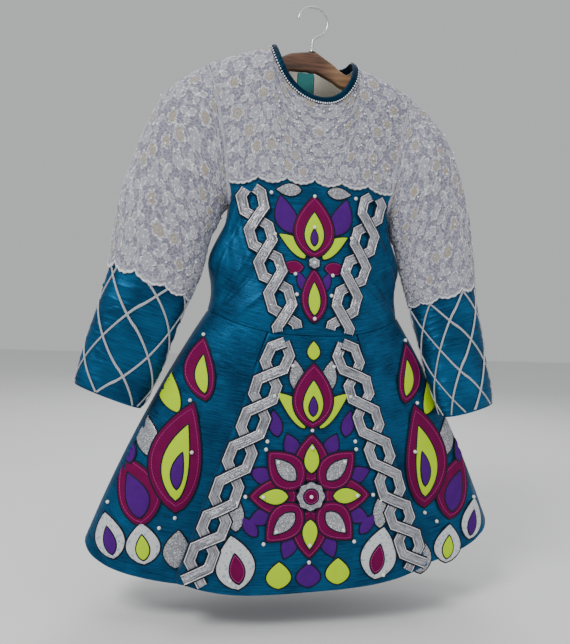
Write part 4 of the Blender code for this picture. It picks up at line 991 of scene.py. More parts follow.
def lace_cloth():
    """Corded lace on net over pale lining: the motif mark lifts the flowers, the accent mark gilds some, and
    small wavering loops of thread fill the ground between them. The ground and the net's openings are darker
    than
    the raised cords: partly the lace's own lavender, partly painted shade between the cords."""
    made = Finish("lace", Sheen_Weight=0.1, Sheen_Roughness=0.5, Specular_IOR_Level=0.25)
    motif = made.mark("motif")
    accent = made.mark("accent")
    hole = made.mark("hole")
    net = made.cells(made.spot, 620.0, "DISTANCE_TO_EDGE", 0.7).ramped(0.02, 0.14)
    yarn = made.noise(made.spot, 1500.0, 2.0)
    cloud = made.noise(made.spot, 45.0, 2.0)
    bent = made.node("ShaderNodeVectorMath", {"operation": "MULTIPLY_ADD"},
                     {0: made.node("ShaderNodeTexNoise", values={"Vector": made.spot, "Scale": 160.0},
                                   output="Color"),
                      1: (0.006, 0.006, 0.006), 2: made.spot})
    loops = 1.0 - made.cells(bent, 175.0, "DISTANCE_TO_EDGE", 1.0).ramped(0.03, 0.13)
    petal = motif.ramped(0.12, 0.30)
    cord = motif.ramped(0.45, 0.85)
    # partly painted shade: the net's openings and the low ground take darker tones than the raised cords,
    # partly the lace's own lavender
    ground = made.mix(net * 0.6, tone(0.27, 0.265, 0.34), tone(0.13, 0.125, 0.185))
    ground = made.mix(cloud.ramped(0.35, 0.7) * 0.4, ground, tone(0.17, 0.165, 0.225))
    ground = made.mix(loops * 0.55, ground, tone(0.50, 0.50, 0.57))
    leafy = made.mix(loops * 0.3, made.mix(yarn, tone(0.30, 0.30, 0.36), tone(0.42, 0.42, 0.48)),
                     tone(0.62, 0.62, 0.68))
    raised = made.mix(yarn.ramped(0.3, 0.7), tone(0.74, 0.74, 0.79), tone(0.94, 0.94, 0.97))
    colour = made.mix(cord, made.mix(petal, ground, leafy), raised)
    colour = made.mix(accent.ramped(0.15, 0.6) * 0.9, colour, tone(0.36, 0.29, 0.17))
    colour = made.mix(hole.ramped(0.35, 0.75), colour, tone(0.045, 0.10, 0.16))
    inside = made.mark("inner")
    colour = made.mix(inside, colour, tone(0.62, 0.60, 0.54))
    made.feed("Base Color", colour)
    made.feed("Roughness", 0.82 - motif * 0.25)
    height = yarn * 0.2 + (1.0 - net) * 0.2 + loops * 0.5 + motif * 0.6
    made.feed("Normal", made.bump(height, 0.0011, 0.8))
    return made


def silver_lame():
    """Padded silver cloth: crushed bright foil with fine wrinkles, a bright edge and a stitched groove. Its
    colour runs from dark to bright in blotches, painted glints and shade, and is darker along the wrinkles,
    painted shade in their creases.
    """
    made = Finish("silver_lame", Specular_IOR_Level=0.6)
    crushed = made.noise(made.scaled(made.flat, 55.0, 420.0), 1.0, 3.0, 0.6)
    wrinkle = made.cells(made.scaled(made.flat, 110.0, 480.0), 1.0, "DISTANCE_TO_EDGE", 1.0).ramped(0.0, 0.22)
    worn = made.noise(made.spot, 55.0, 3.0)
    level = made.mark("mark")
    rim = level.ramped(0.6, 0.95)
    groove = 1.0 - level.ramped(0.05, 0.42)
    stitch = (made.part_of(made.flat, "X") * 2600.0).wave().ramped(0.1, 0.5)
    # painted glints and shade: two noises mix the foil's colour between a dark and a bright silver, with no
    # wear behind them
    body = made.mix((crushed * 0.7 + worn * 0.3).ramped(0.28, 0.68), tone(0.17, 0.175, 0.20),
                    tone(0.56, 0.56, 0.61))
    # painted shade: the colour darkens along the wrinkle lines
    body = made.mix((1.0 - wrinkle) * 0.35, body, tone(0.05, 0.052, 0.065))
    body = made.mix(rim * 0.85, body, tone(0.78, 0.78, 0.82))
    made.feed("Base Color", made.mix(groove * (0.55 + stitch * 0.45), body, tone(0.030, 0.032, 0.045)))
    made.feed("Roughness", 0.24 + crushed * 0.22 + groove * 0.25)
    made.feed("Metallic", (0.75 - rim * 0.4 - groove * 0.5).clamped())
    made.feed("Normal", made.bump(crushed * 0.8 + wrinkle * 0.35, 0.0016, 0.7))
    return made


def patch_cloth(name, deep, lit, rough, weave=3200.0, sheen=0.3, metal=0.0):
    """A patch's cloth: fine threads and slight clouds that mix a shaded and a lit tone of its colour, partly
    painted shade and light, and an edge darker towards the shaded tone, painted shade along its low rim by
    the cord.
    """
    made = Finish(name, Sheen_Weight=sheen, Sheen_Roughness=0.4, Metallic=metal, Specular_IOR_Level=0.12)
    threads = ((made.part_of(made.spot, "X") * weave).wave() * 0.5
               + (made.part_of(made.spot, "Z") * weave).wave() * 0.5)
    cloud = made.noise(made.spot, 70.0, 3.0)
    fuzz = made.noise(made.spot, 1800.0, 1.0)
    # partly painted shade and light: clouds and threads mix the shaded and the lit tone
    colour = made.mix(cloud * 0.7 + threads * 0.3, deep, lit)
    # painted shade: the low rim by the cord is darkened towards the shaded tone
    made.feed("Base Color", made.mix(made.mark("mark") * 0.35, colour, deep))
    made.feed("Roughness", rough + fuzz * 0.12)
    made.feed("Normal", made.bump(threads * 0.4 + fuzz * 0.6, 0.0003, 0.4))
    return made


def glitter_cloth(name, base, bright, scale=900.0):
    """Glitter cloth: tiny flakes, each with its own tilt, and each with its own brightness painted in its
    colour: painted glints.
    """
    made = Finish(name, Specular_IOR_Level=0.8)
    flakes = made.cells(made.spot, scale, "F1", 1.0, "Color")
    level = made.part_of(flakes, "X")
    cloud = made.noise(made.spot, 60.0, 2.0)
    # painted glints: a few flakes are painted bright and the rest dark
    made.feed("Base Color", made.mix((level ** 2.5) * 0.8 + cloud * 0.2, base, bright))
    made.feed("Roughness", 0.18 + level * 0.35)
    made.feed("Metallic", (level * 0.8).clamped())
    made.feed("Normal", made.bump(level, 0.0005, 0.9))
    return made


def frosted_cloth():
    """Pale silver cloth with a light scatter of small bluish specks."""
    made = Finish("frosted_white", Sheen_Weight=0.2, Specular_IOR_Level=0.6)
    specks = made.cells(made.spot, 170.0, "F1", 1.0)
    fine = made.cells(made.spot, 900.0, "F1", 1.0, "Color")
    level = made.part_of(fine, "X")
    near = 1.0 - specks.ramped(0.18, 0.42)
    colour = made.mix(level * 0.5, tone(0.50, 0.52, 0.54), tone(0.80, 0.82, 0.82))
    made.feed("Base Color", made.mix(near * 0.75, colour, tone(0.20, 0.33, 0.46)))
    made.feed("Roughness", 0.25 + level * 0.35)
    made.feed("Metallic", (level * 0.4).clamped())
    made.feed("Normal", made.bump(level * 0.6 + near * 0.4, 0.0005, 0.6))
    return made


def thread_cord(name, colour, bright, twist=1500.0, rough=0.6, sheen=0.1):
    """A laid cord or satin stitch: slanting threads along its length."""
    made = Finish(name, Sheen_Weight=sheen, Specular_IOR_Level=0.2)
    along = made.part_of(made.flat, "X")
    side = made.part_of(made.flat, "Y")
    lay = (along * twist + side * twist * 2.0).wave()
    made.feed("Base Color", made.mix(lay, colour, bright))
    made.feed("Roughness", rough - lay * 0.15)
    made.feed("Normal", made.bump(lay, 0.0003, 0.6))
    return made


def bead_glass(name, colour, bright, rough=0.08):
    made = Finish(name, Specular_IOR_Level=0.8, Coat_Weight=0.6, Coat_Roughness=0.05)
    swirl = made.noise(made.spot, 500.0, 1.0)
    made.feed("Base Color", made.mix(swirl, colour, bright))
    made.feed("Roughness", rough + swirl * 0.12)
    return made


def cotton(name, deep, lit, weave=2600.0, rough=0.85):
    """Plain woven cloth, such as lining or tape."""
    made = Finish(name, Sheen_Weight=0.2)
    across = (made.part_of(made.spot, "X") * weave).wave()
    up = (made.part_of(made.spot, "Z") * weave).wave()
    cloud = made.noise(made.spot, 30.0, 2.0)
    made.feed("Base Color", made.mix(across * 0.3 + up * 0.3 + cloud * 0.4, deep, lit))
    made.feed("Roughness", rough - across * up * 0.15)
    made.feed("Normal", made.bump(across + up, 0.0003, 0.5))
    return made


def metal(name, colour, bright, rough=0.28, grain=400.0):
    made = Finish(name, Specular_IOR_Level=0.6)
    scratch = made.noise(made.scaled(made.spot, grain, grain, grain * 0.15), 1.0, 3.0)
    made.feed("Base Color", made.mix(scratch, colour, bright))
    made.feed("Roughness", rough + scratch * 0.22 - 0.05)
    made.feed("Metallic", (0.92 + scratch * 0.16).clamped())
    made.feed("Normal", made.bump(scratch, 0.0001, 0.3))
    return made


def stained_wood():
    """Dark stained hanger wood: long grain along the arms, with open pores, under a thin worn varnish. Right
    of the middle the arms turn paler, painted light standing for a lit face of the wood.
    """
    made = Finish("stained_wood", Coat_Roughness=0.25, Specular_IOR_Level=0.5)
    place = made.scaled(made.spot, 9.0, 110.0, 110.0)
    rings = made.noise(place, 1.6, 4.0, 0.65)
    pores = made.noise(made.scaled(made.spot, 60.0, 1500.0, 1500.0), 1.0, 2.0)
    # painted light: by its x, the wood right of the middle turns to the paler tone
    pale = made.part_of(made.spot, "X").ramped(0.010, 0.045)
    dark = made.mix(rings.ramped(0.3, 0.7), tone(0.035, 0.014, 0.007), tone(0.16, 0.065, 0.028))
    light = made.mix(rings.ramped(0.3, 0.7), tone(0.23, 0.115, 0.05), tone(0.42, 0.25, 0.12))
    colour = made.mix(pale * 0.7, dark, light)
    made.feed("Base Color", made.mix(pores.ramped(0.62, 0.75) * 0.6, colour, tone(0.02, 0.009, 0.005)))
    made.feed("Roughness", 0.38 + rings * 0.2)
    made.feed("Coat Weight", 0.45 - pores * 0.3)
    made.feed("Normal", made.bump(rings * 0.4 + pores * 0.6, 0.0004, 0.4))
    return made


def floor_paint():
    made = Finish("floor", Roughness=0.9)
    grain = made.noise(made.spot, 3.0, 2.0)
    made.feed("Base Color", made.mix(grain, tone(0.78, 0.78, 0.78), tone(0.82, 0.82, 0.82)))
    return made


# slub_satin tones: the first is a shaded and the second a lit copy of each colour, painted shade and light
TEAL = slub_satin("teal_satin", tone(0.0014, 0.019, 0.054), tone(0.009, 0.124, 0.275)).material
# a slightly darker copy of the teal for the back pieces: painted shade
TEAL_BACK = slub_satin("teal_satin_shaded_back", tone(0.0013, 0.018, 0.051), tone(0.009, 0.118, 0.260)).material
LACE_CLOTH = lace_cloth().material
BAND = slub_satin("dark_band", tone(0.0004, 0.009, 0.024), tone(0.001, 0.034, 0.072), rough=0.36).material
LAME = silver_lame().material
MAGENTA = patch_cloth("magenta_cloth", tone(0.095, 0.0002, 0.034), tone(0.180, 0.0006, 0.072), 0.80,
                      sheen=0.0).material
LIME = patch_cloth("lime_cloth", tone(0.40, 0.64, 0.001), tone(0.50, 0.76, 0.002), 0.75, sheen=0.0).material
PURPLE = patch_cloth("purple_cloth", tone(0.040, 0.002, 0.110), tone(0.085, 0.006, 0.215), 0.70,
                     sheen=0.0).material
GLITTER = glitter_cloth("silver_glitter", tone(0.13, 0.135, 0.16), tone(0.85, 0.86, 0.90)).material
FROST = frosted_cloth().material
NAVY_CORD = thread_cord("navy_cord", tone(0.0008, 0.002, 0.008), tone(0.003, 0.009, 0.024),
                        sheen=0.0).material
PINK_CORD = thread_cord("pink_cord", tone(0.20, 0.006, 0.10), tone(0.42, 0.03, 0.24)).material
SILVER_CORD = thread_cord("silver_cord", tone(0.22, 0.24, 0.27), tone(0.62, 0.64, 0.67), 2200.0, 0.4).material
PEARL = bead_glass("pearl_beads", tone(0.72, 0.71, 0.68), tone(0.90, 0.90, 0.90), 0.16).material
CRYSTAL = bead_glass("crystal_beads", tone(0.80, 0.84, 0.90), tone(0.98, 0.98, 1.0), 0.05).material
CREAM = cotton("lining_cotton", tone(0.46, 0.43, 0.36), tone(0.66, 0.63, 0.55)).material
ZIP_TAPE = cotton("zip_tape_weave", tone(0.010, 0.13, 0.14), tone(0.030, 0.27, 0.27), 3600.0).material
ZIP_METAL = metal("zip_metal", tone(0.42, 0.43, 0.45), tone(0.66, 0.67, 0.68)).material
STEEL = metal("hook_steel", tone(0.50, 0.51, 0.52), tone(0.72, 0.72, 0.72), 0.22).material
WOOD = stained_wood().material


# Lace


def lace_field(a, b, seed, pitch=0.0235, around=None):
    """Corded flowers and sprays on a jittered lattice over flat metres a and b: height, motif and accent.

    A flower is a ring of petals, r(turn) = size (0.46 + 0.54 |cos(n turn / 2)|^0.6), with a cord round it,
    veins and a button. A spray is three leaves, each a pair of half sines. Wavering cords join them.
    """
    rng = np.random.default_rng(seed)
    motif, accent = np.zeros_like(a), np.zeros_like(a)
    low_a, low_b = a.min(), b.min()
    columns = int(round(around / pitch)) if around else int((a.max() - low_a) / pitch) + 2
    step = around / columns if around else pitch
    rows = int((b.max() - low_b) / (pitch * 0.86)) + 2
    for row in range(rows):
        for col in range(columns):
            middle_a = low_a + (col + 0.5 * (row % 2) + rng.uniform(-0.13, 0.13)) * step
            middle_b = low_b + (row + rng.uniform(-0.13, 0.13)) * pitch * 0.86
            spin, size = rng.uniform(0, 2 * np.pi), rng.uniform(0.0078, 0.0104)
            petals = int(rng.integers(5, 7))
            gilt = rng.uniform() < 0.42
            da = a - middle_a
            if around:
                da = (da + around / 2) % around - around / 2
            db = b - middle_b
            near = np.nonzero((np.abs(da) < 0.0135) & (np.abs(db) < 0.0135))
            if not len(near[0]):
                continue
            da, db = da[near], db[near]
            radius, turn = np.hypot(da, db), np.arctan2(db, da) + spin
            if (row + 2 * col) % 3 != 1:
                edge = size * (0.46 + 0.54 * np.abs(np.cos(petals * turn / 2)) ** 0.6)
                cord = hill(radius, edge, 0.00080)
                within = (radius < edge).astype(float)
                vein = hill(np.abs(np.sin(petals * turn / 2)) * radius, 0.0, 0.0006) * within
                button = hill(radius, 0.0, 0.0019)
                shape = np.maximum.reduce([cord, 0.34 * within, 0.8 * vein * (radius > 0.3 * size), button])
                gold = gilt * np.maximum(button, 0.7 * hill(radius, size * 0.5, 0.0012) * within)
            else:
                shape, gold = np.zeros_like(radius), np.zeros_like(radius)
                for lean in (0.0, 2.2, -2.2):
                    along = radius * np.cos(turn + lean)
                    aside = np.abs(radius * np.sin(turn + lean))
                    leaf = 0.0034 * np.sin(np.pi * np.clip(along / 0.0125, 0.0, 1.0))
                    inside = (along > 0) & (along < 0.0125)
                    cord = hill(aside, leaf, 0.0007) * inside
                    vein = hill(aside, 0.0, 0.0005) * inside
                    fill = 0.30 * (aside < leaf) * inside
                    shape = np.maximum.reduce([shape, cord, vein * 0.7, fill])
                    gold = np.maximum(gold, gilt * 0.55 * vein)
            motif[near] = np.maximum(motif[near], shape)
            accent[near] = np.maximum(accent[near], gold)
    if around:
        share_a = (a - low_a) / around
    else:
        share_a = (a - low_a) / max(a.max() - low_a, 1e-6)
    share_b = (b - low_b) / max(b.max() - low_b, 1e-6)
    cells_a, cells_b = columns * 2, max(rows * 2, 2)
    winding = wander(share_a, share_b, seed + 50, cells_a, cells_b, closed=around is not None)
    joining = hill(winding, 0.0, 0.085) * 0.62
    return np.maximum(motif, joining * (motif < 0.2)), accent


def lace_marks(a, b, edge, lobe, seed, around=None, pierced=1.0):
    """The lace with its corded scalloped edge, and a row of holes above it. edge is the distance from it."""
    motif, accent = lace_field(a, b, seed, around=around)
    rim = hill(edge, 0.0014, 0.0016) + hill(edge, 0.0066, 0.0009) * 0.45
    holes = pierced * hill(edge, 0.0043, 0.0011) * np.clip(np.cos(2.0 * np.pi * lobe), 0.0, 1.0) ** 2
    clear = smooth_step(edge, 0.0030, 0.0060)
    motif = np.maximum(motif * clear, np.clip(rim, 0.0, 1.0) * (holes < 0.4))
    return {"motif": motif, "accent": accent * clear, "hole": holes}


def small_lobes(share, count, depth):
    return depth * np.abs(np.sin(np.pi * count * share)) ** 0.8


# Bodice and yoke


def front_lobes(across):
    fine = small_lobes((across + 1.0) / 2.0, YOKE_SCALLOPS * 5, 0.0016)
    return scallops((across + 1.0) / 2.0, YOKE_SCALLOPS, YOKE_SCALLOP_DEPTH) - fine


def back_lobes(across):
    fine = small_lobes(np.abs(across), YOKE_BACK_SCALLOPS * 5, 0.0016)
    return scallops(np.abs(across), YOKE_BACK_SCALLOPS, YOKE_SCALLOP_DEPTH) - fine


# soft folds of the front bodice: middle x, z, angle from level in degrees, half length, half width, depth
BODICE_FOLDS = (
    (-0.112, -0.345, 66.0, 0.046, 0.0041, -0.0032),
    (-0.121, -0.372, 78.0, 0.044, 0.0039, 0.0027),
    (-0.104, -0.398, 58.0, 0.036, 0.0033, 0.0024),
    (-0.097, -0.412, 50.0, 0.034, 0.0028, -0.0027),
    (-0.116, -0.424, 60.0, 0.026, 0.0028, -0.0024),
    (-0.082, -0.436, 40.0, 0.022, 0.0027, 0.0019),
    (-0.104, -0.300, 70.0, 0.024, 0.0030, 0.0022),
    (0.112, -0.345, -66.0, 0.050, 0.0039, -0.0035),
    (0.103, -0.352, -60.0, 0.044, 0.0036, 0.0027),
    (0.120, -0.392, -74.0, 0.036, 0.0033, 0.0027),
    (0.100, -0.408, -48.0, 0.038, 0.0028, -0.0028),
    (0.088, -0.424, -42.0, 0.030, 0.0028, 0.0023),
    (0.080, -0.440, -34.0, 0.024, 0.0025, -0.0020),
    (0.108, -0.305, -62.0, 0.026, 0.0030, 0.0022),
    (0.000, -0.462, 3.0, 0.030, 0.0031, -0.0005),
)
# folds of the skirt's side panels: middle share of the half width, share of the height, lean, half length,
# half width, depth
SIDE_FOLDS = (
    (0.62, 0.40, 0.10, 0.36, 0.026, 0.0022),
    (0.74, 0.55, 0.05, 0.40, 0.022, -0.0018),
    (0.86, 0.35, 0.06, 0.30, 0.020, 0.0016),
    (0.93, 0.70, 0.02, 0.25, 0.016, -0.0014),
    (0.52, 0.80, 0.12, 0.16, 0.020, -0.0015),
)


# how far a fold may rise under the patches that lie on the cloth
PATCH_ROOM = 0.0002
# creases of the side panels below the waist: x, z, angle from level in degrees, half length, half width,
# depth
SIDE_CREASES = (
    (0.120, -0.512, 24.0, 0.030, 0.0036, -0.0016),
    (0.132, -0.524, 30.0, 0.034, 0.0044, 0.0016),
    (0.108, -0.545, 12.0, 0.026, 0.0034, -0.0013),
    (0.168, -0.560, -14.0, 0.030, 0.0040, -0.0013),
    (0.190, -0.600, -20.0, 0.034, 0.0044, 0.0013),
)


def folds(x, z, table):
    """Straight soft folds: a bell across each, faded at both its ends."""
    total = np.zeros_like(x)
    for middle_x, middle_z, angle, half_length, half_width, depth in table:
        turn = math.radians(angle)
        along = (x - middle_x) * math.cos(turn) + (z - middle_z) * math.sin(turn)
        aside = -(x - middle_x) * math.sin(turn) + (z - middle_z) * math.cos(turn)
        total = total + depth * hill(aside, 0.0, half_width) * hill(along, 0.0, half_length)
    return total


def make_bodice():
    def front(u, v):
        return seamed(lower_body(2.0 * u - 1.0, v, True), True)

    def front_drape(u, v):
        spot = front(u, v)
        wave = 0.0003 * wander(u, v, 11, 14, 10)
        return (folds(spot[..., 0], spot[..., 2], BODICE_FOLDS) + wave) * smooth_step(1.0 - v, 0.10, 0.25)

    def yoke(u, v):
        return seamed(upper_body(2.0 * u - 1.0, 1.0 - (1.0 - v) ** YOKE_ROW_POWER, True, front_lobes), True)

    def yoke_marks(u, v):
        rise = 1.0 - (1.0 - v) ** YOKE_ROW_POWER
        spot = yoke(u, v)
        low = yoke(u, np.zeros_like(v))
        edge = np.hypot(spot[..., 2] - low[..., 2], spot[..., 1] - low[..., 1])
        return lace_marks((u - 0.5) * 0.30, rise * 0.165, edge, u * YOKE_SCALLOPS * 5, 3)

    def relief_of(marks):
        def relief(u, v):
            found = marks(u, v)
            return 0.0013 * found["motif"] - 0.0004 * found["hole"]
        return relief

    def yoke_drape(u, v):
        return 0.0008 * wander(u, v, 12, 7, 5) * smooth_step(v, 0.25, 0.45) * smooth_step(1.0 - v, 0.02, 0.2)

    made = {}
    made["bodice_front"] = cloth_wall("bodice_front_cloth", front, (150, 108), SATIN, TEAL, (0.30, 0.20),
                                      level=0.08, drape=front_drape)
    made["yoke_front"] = cloth_wall("yoke_front_lace", yoke, (240, 132), LACE, LACE_CLOTH, (0.30, 0.165),
                                    layer=SATIN + LAYER_GAP, relief=relief_of(yoke_marks), marks=yoke_marks,
                                    drape=yoke_drape)
    for side, word in ((-1.0, "left"), (1.0, "right")):
        def back(u, v, side=side):
            return seamed(lower_body(back_across(u, side), v, False), False)

        def back_drape(u, v, side=side):
            wave = 0.0006 * wander(u, v, 15 + int(side), 7, 8)
            crease = -0.0012 * hill(v + 0.25 * u, 0.30, 0.05) * hill(u, 0.65, 0.25)
            return (wave + crease) * smooth_step(u, 0.08, 0.2) * smooth_step(1.0 - v, 0.10, 0.25)

        def back_yoke(u, v, side=side):
            rise = 1.0 - (1.0 - v) ** YOKE_ROW_POWER
            return seamed(upper_body(back_across(u, side), rise, False, back_lobes), False)

        def back_yoke_marks(u, v, side=side, shape=back_yoke):
            spot, low = shape(u, v), shape(u, np.zeros_like(v))
            edge = np.hypot(spot[..., 2] - low[..., 2], spot[..., 1] - low[..., 1])
            rise = 1.0 - (1.0 - v) ** YOKE_ROW_POWER
            return lace_marks(u * 0.145, rise * 0.185, edge, u * YOKE_BACK_SCALLOPS * 5, 5 + int(side))

        def lining(u, v, side=side):
            x, z = neck_curve(LINING_START + (LINING_END - LINING_START) * u, 0.0, False)
            low_x = NECK_HALF_WIDTH * LINING_START + LINING_LOW_WIDTH * u
            high_z = z - LINING_BELOW_EDGE
            return body_point(side * (x + (low_x - x) * v), high_z + (LINING_LOW_Z - high_z) * v, False)

        made[f"bodice_back_{word}"] = cloth_wall(
            f"bodice_back_{word}_cloth", back, (72, 99), SATIN, TEAL_BACK, (0.15, 0.18), outward=-side,
            level=0.08, drape=back_drape)
        made[f"yoke_back_{word}"] = cloth_wall(
            f"yoke_back_{word}_lace", back_yoke, (129, 150), LACE, LACE_CLOTH, (0.145, 0.185),
            layer=SATIN + LAYER_GAP, outward=-side, relief=relief_of(back_yoke_marks), marks=back_yoke_marks)
        made[f"lining_back_{word}"] = cloth_wall(
            f"lining_back_{word}_cloth", lining, (24, 30), LINING, CREAM, (0.07, 0.10), layer=LINING_LAYER,
            outward=side)
    return made


def binding_spot(u, inside):
    turn = np.pi + 0.016 + (2.0 * np.pi - 0.032) * u
    across = np.sin(turn)
    front = np.cos(turn) > 0
    x_front, z_front = neck_curve(across, inside, True)
    x_back, z_back = neck_curve(across, inside, False)
    ahead = body_point(x_front, z_front, True, creased=False)
    behind = body_point(x_back, z_back, False)
    return np.where(front[..., None], ahead, behind)


def make_binding():
    """The padded neck binding, with a row of small crystals sewn along its outer edge."""

    def strip_spot(u, v):
        return binding_spot(u, 0.0006 + NECK_BAND_WIDTH * v)

    def pad(u, v):
        crown = 0.0009 * np.sin(np.pi * np.clip(v, 0, 1)) ** 0.5
        pull = 0.00025 * np.sin(2.0 * np.pi * 75.0 * u + 2.0 * v) * np.sin(np.pi * v)
        return crown + pull - 0.0009 * (1.0 - np.sin(np.pi * np.clip(v, 0, 1)) ** 0.35)

    band = cloth_wall("neck_binding_cloth", strip_spot, (360, 12), NECK_BAND_THICKNESS, BAND, (0.42, 0.010),
                      layer=SATIN + LAYER_GAP, relief=pad)
    share = (np.arange(118) + 0.5) / 118
    outer = binding_spot(share, np.full(118, 0.0016))
    normal = surface_normals(lambda u, v: binding_spot(u, 0.0006 + NECK_BAND_WIDTH * v), share,
                             np.full(118, 0.1))
    centres = outer + normal * (SATIN + LAYER_GAP + NECK_BAND_THICKNESS + 0.0002)
    chain = beads("neck_crystals", centres, 0.0012, CRYSTAL, 8, 5)
    return {"neck_binding": band}, [chain]


# Sleeves


SLEEVE_ROUND = 0.262
SLEEVE_UPPER_ROUND = 0.410
SLEEVE_UPPER_LONG = 0.247
SLEEVE_LOWER_LONG = 0.183
WELT_RADIUS = 0.0026
# the two sets of lattice cords of each sleeve: how many, their phase, and how far round each goes to the cuff
LATTICE = {
    -1.0: ((5, 0.124, 0.345), (6, 0.047, -0.520)),
    1.0: ((6, 0.154, 0.440), (7, 0.005, -0.380)),
}
# long soft folds of each sleeve: share round, share along, lean, half length, half width, depth
SLEEVE_FOLDS = {
    -1.0: ((0.22, 0.35, 0.10, 0.22, 0.030, 0.0026), (0.32, 0.55, -0.14, 0.20, 0.026, -0.0024),
           (0.14, 0.62, 0.12, 0.18, 0.024, 0.0022), (0.42, 0.28, 0.05, 0.16, 0.022, -0.0020),
           (0.26, 0.80, -0.10, 0.12, 0.022, 0.0018), (0.70, 0.45, 0.08, 0.25, 0.035, 0.0024)),
    1.0: ((0.24, 0.40, -0.10, 0.24, 0.030, 0.0026), (0.34, 0.25, 0.10, 0.18, 0.026, -0.0022),
          (0.16, 0.55, -0.08, 0.20, 0.024, -0.0022), (0.40, 0.62, 0.12, 0.16, 0.022, 0.0020),
          (0.28, 0.75, 0.10, 0.14, 0.024, -0.0018), (0.72, 0.50, -0.06, 0.24, 0.035, 0.0024)),
}


def make_sleeves():
    made, extras = {}, []
    for side, word, table in ((-1.0, "left", LEFT_SLEEVE), (1.0, "right", RIGHT_SLEEVE)):
        def upper_end(u):
            fine = 0.004 * np.abs(np.sin(np.pi * SLEEVE_SCALLOPS * 4 * u)) ** 0.8
            return SLEEVE_LACE_END - scallops(u, SLEEVE_SCALLOPS, SLEEVE_SCALLOP_DEPTH) + fine

        def upper(u, v, side=side, table=table):
            return sleeve_point(u, v * upper_end(u), table, side)

        def upper_layer(u, v):
            return -SLEEVE_CLOTH / 2 + 0.0018 * smooth_step(v, 0.35, 0.80)

        def upper_drape(u, v, side=side):
            total = 0.0006 * wander(u, v, 30, 8, 8, closed=True)
            for around, along, lean, half_length, half_width, depth in SLEEVE_FOLDS[side]:
                middle = around + lean * (v - along)
                apart = np.abs((u - middle + 0.5) % 1.0 - 0.5)
                total = total + depth * hill(apart, 0.0, half_width) * hill(v, along, half_length)
            return total * smooth_step(v, 0.06, 0.2) * smooth_step(1.0 - v, 0.10, 0.28)

        def upper_marks(u, v):
            edge = (1.0 - v) * SLEEVE_UPPER_LONG * 0.95
            return lace_marks(u * SLEEVE_UPPER_ROUND, (1.0 - v) * SLEEVE_UPPER_LONG, edge,
                              u * SLEEVE_SCALLOPS * 4, 21, around=SLEEVE_UPPER_ROUND, pierced=0.0)

        def upper_relief(u, v):
            found = upper_marks(u, v)
            return 0.0013 * found["motif"] - 0.0004 * found["hole"]

        def lower(u, v, side=side, table=table):
            return sleeve_point(u, SLEEVE_CUFF_TOP + (1.0 - SLEEVE_CUFF_TOP) * v, table, side)

        def ruching(u, v, side=side):
            seed = 40 + int(side)
            shift = (0.95 * wander(u, v, seed, 5, 6, closed=True) + 0.5
                     * wander(u, v, seed + 7, 13, 11, closed=True))
            rows = np.abs(np.sin(np.pi * (13.0 * v + shift)))
            strong = np.clip(0.6 + 0.8 * wander(u, v, seed + 3, 11, 13, closed=True), 0.08, 1.4)
            fine = 0.5 + 0.5 * np.sin(2.0 * np.pi * (27.0 * v + 1.7 * shift))
            height = 0.0019 * strong * (1.0 - rows) ** 1.5 + 0.00035 * fine * strong
            held = np.ones_like(u)
            for count, phase, swept in LATTICE[side]:
                apart = np.abs(((u - phase - swept * (v - 0.5)) * count + 0.5) % 1.0 - 0.5) / count
                held = held * (1.0 - 0.75 * hill(apart * SLEEVE_ROUND, 0.0, 0.0045))
            return ((height * held + 0.0009 * held) * smooth_step(v, 0.13, 0.20)
                    * smooth_step(1.0 - v, 0.0, 0.05))

        made[f"sleeve_upper_{word}"] = cloth_wall(
            f"sleeve_upper_{word}_lace", upper, (291, 168), SLEEVE_CLOTH, LACE_CLOTH,
            (SLEEVE_UPPER_ROUND, SLEEVE_UPPER_LONG), layer=upper_layer, closed=True, drape=upper_drape,
            relief=upper_relief, marks=upper_marks)
        made[f"sleeve_lower_{word}"] = cloth_wall(
            f"sleeve_lower_{word}_cloth", lower, (120, 150), SLEEVE_CLOTH, TEAL,
            (SLEEVE_ROUND, SLEEVE_LOWER_LONG), layer=-SLEEVE_CLOTH / 2, closed=True, relief=ruching)

        def around(a, b, side=side, table=table):
            return sleeve_point((a / SLEEVE_ROUND) % 1.0, SLEEVE_CUFF_TOP + (1.0 - SLEEVE_CUFF_TOP) * b
                                / SLEEVE_LOWER_LONG,
                                table, side)

        flat_cord = np.array([(-0.0013, 0.0, 0.0), (-0.0011, 0.0008, 1.0), (-0.0006, 0.0013, 0.0),
                              (0.0, 0.0009, 1.0),
                              (0.0006, 0.0013, 0.0), (0.0011, 0.0008, 1.0), (0.0013, 0.0, 0.0)])
        cords = []
        for order, (count, phase, swept) in enumerate(LATTICE[side]):
            for index in range(count):
                down = np.linspace(0.035, 0.985, 94)
                out = smooth_step(down, 0.035, 0.075)
                turn = index / count + phase + swept * (down - 0.5)
                line = np.stack([turn * SLEEVE_ROUND, down * SLEEVE_LOWER_LONG], axis=-1)
                base = SLEEVE_CLOTH / 2 + (0.0008 + 0.0007 * order) * out - 0.0012 * (1.0 - out)
                cords.append(strip(around, line, flat_cord, base=base, way=-side))
        lattice = made_of(f"sleeve_lattice_{word}", cords, SILVER_CORD)
        extras.append((f"sleeve_lower_{word}", lattice))
    return made, extras


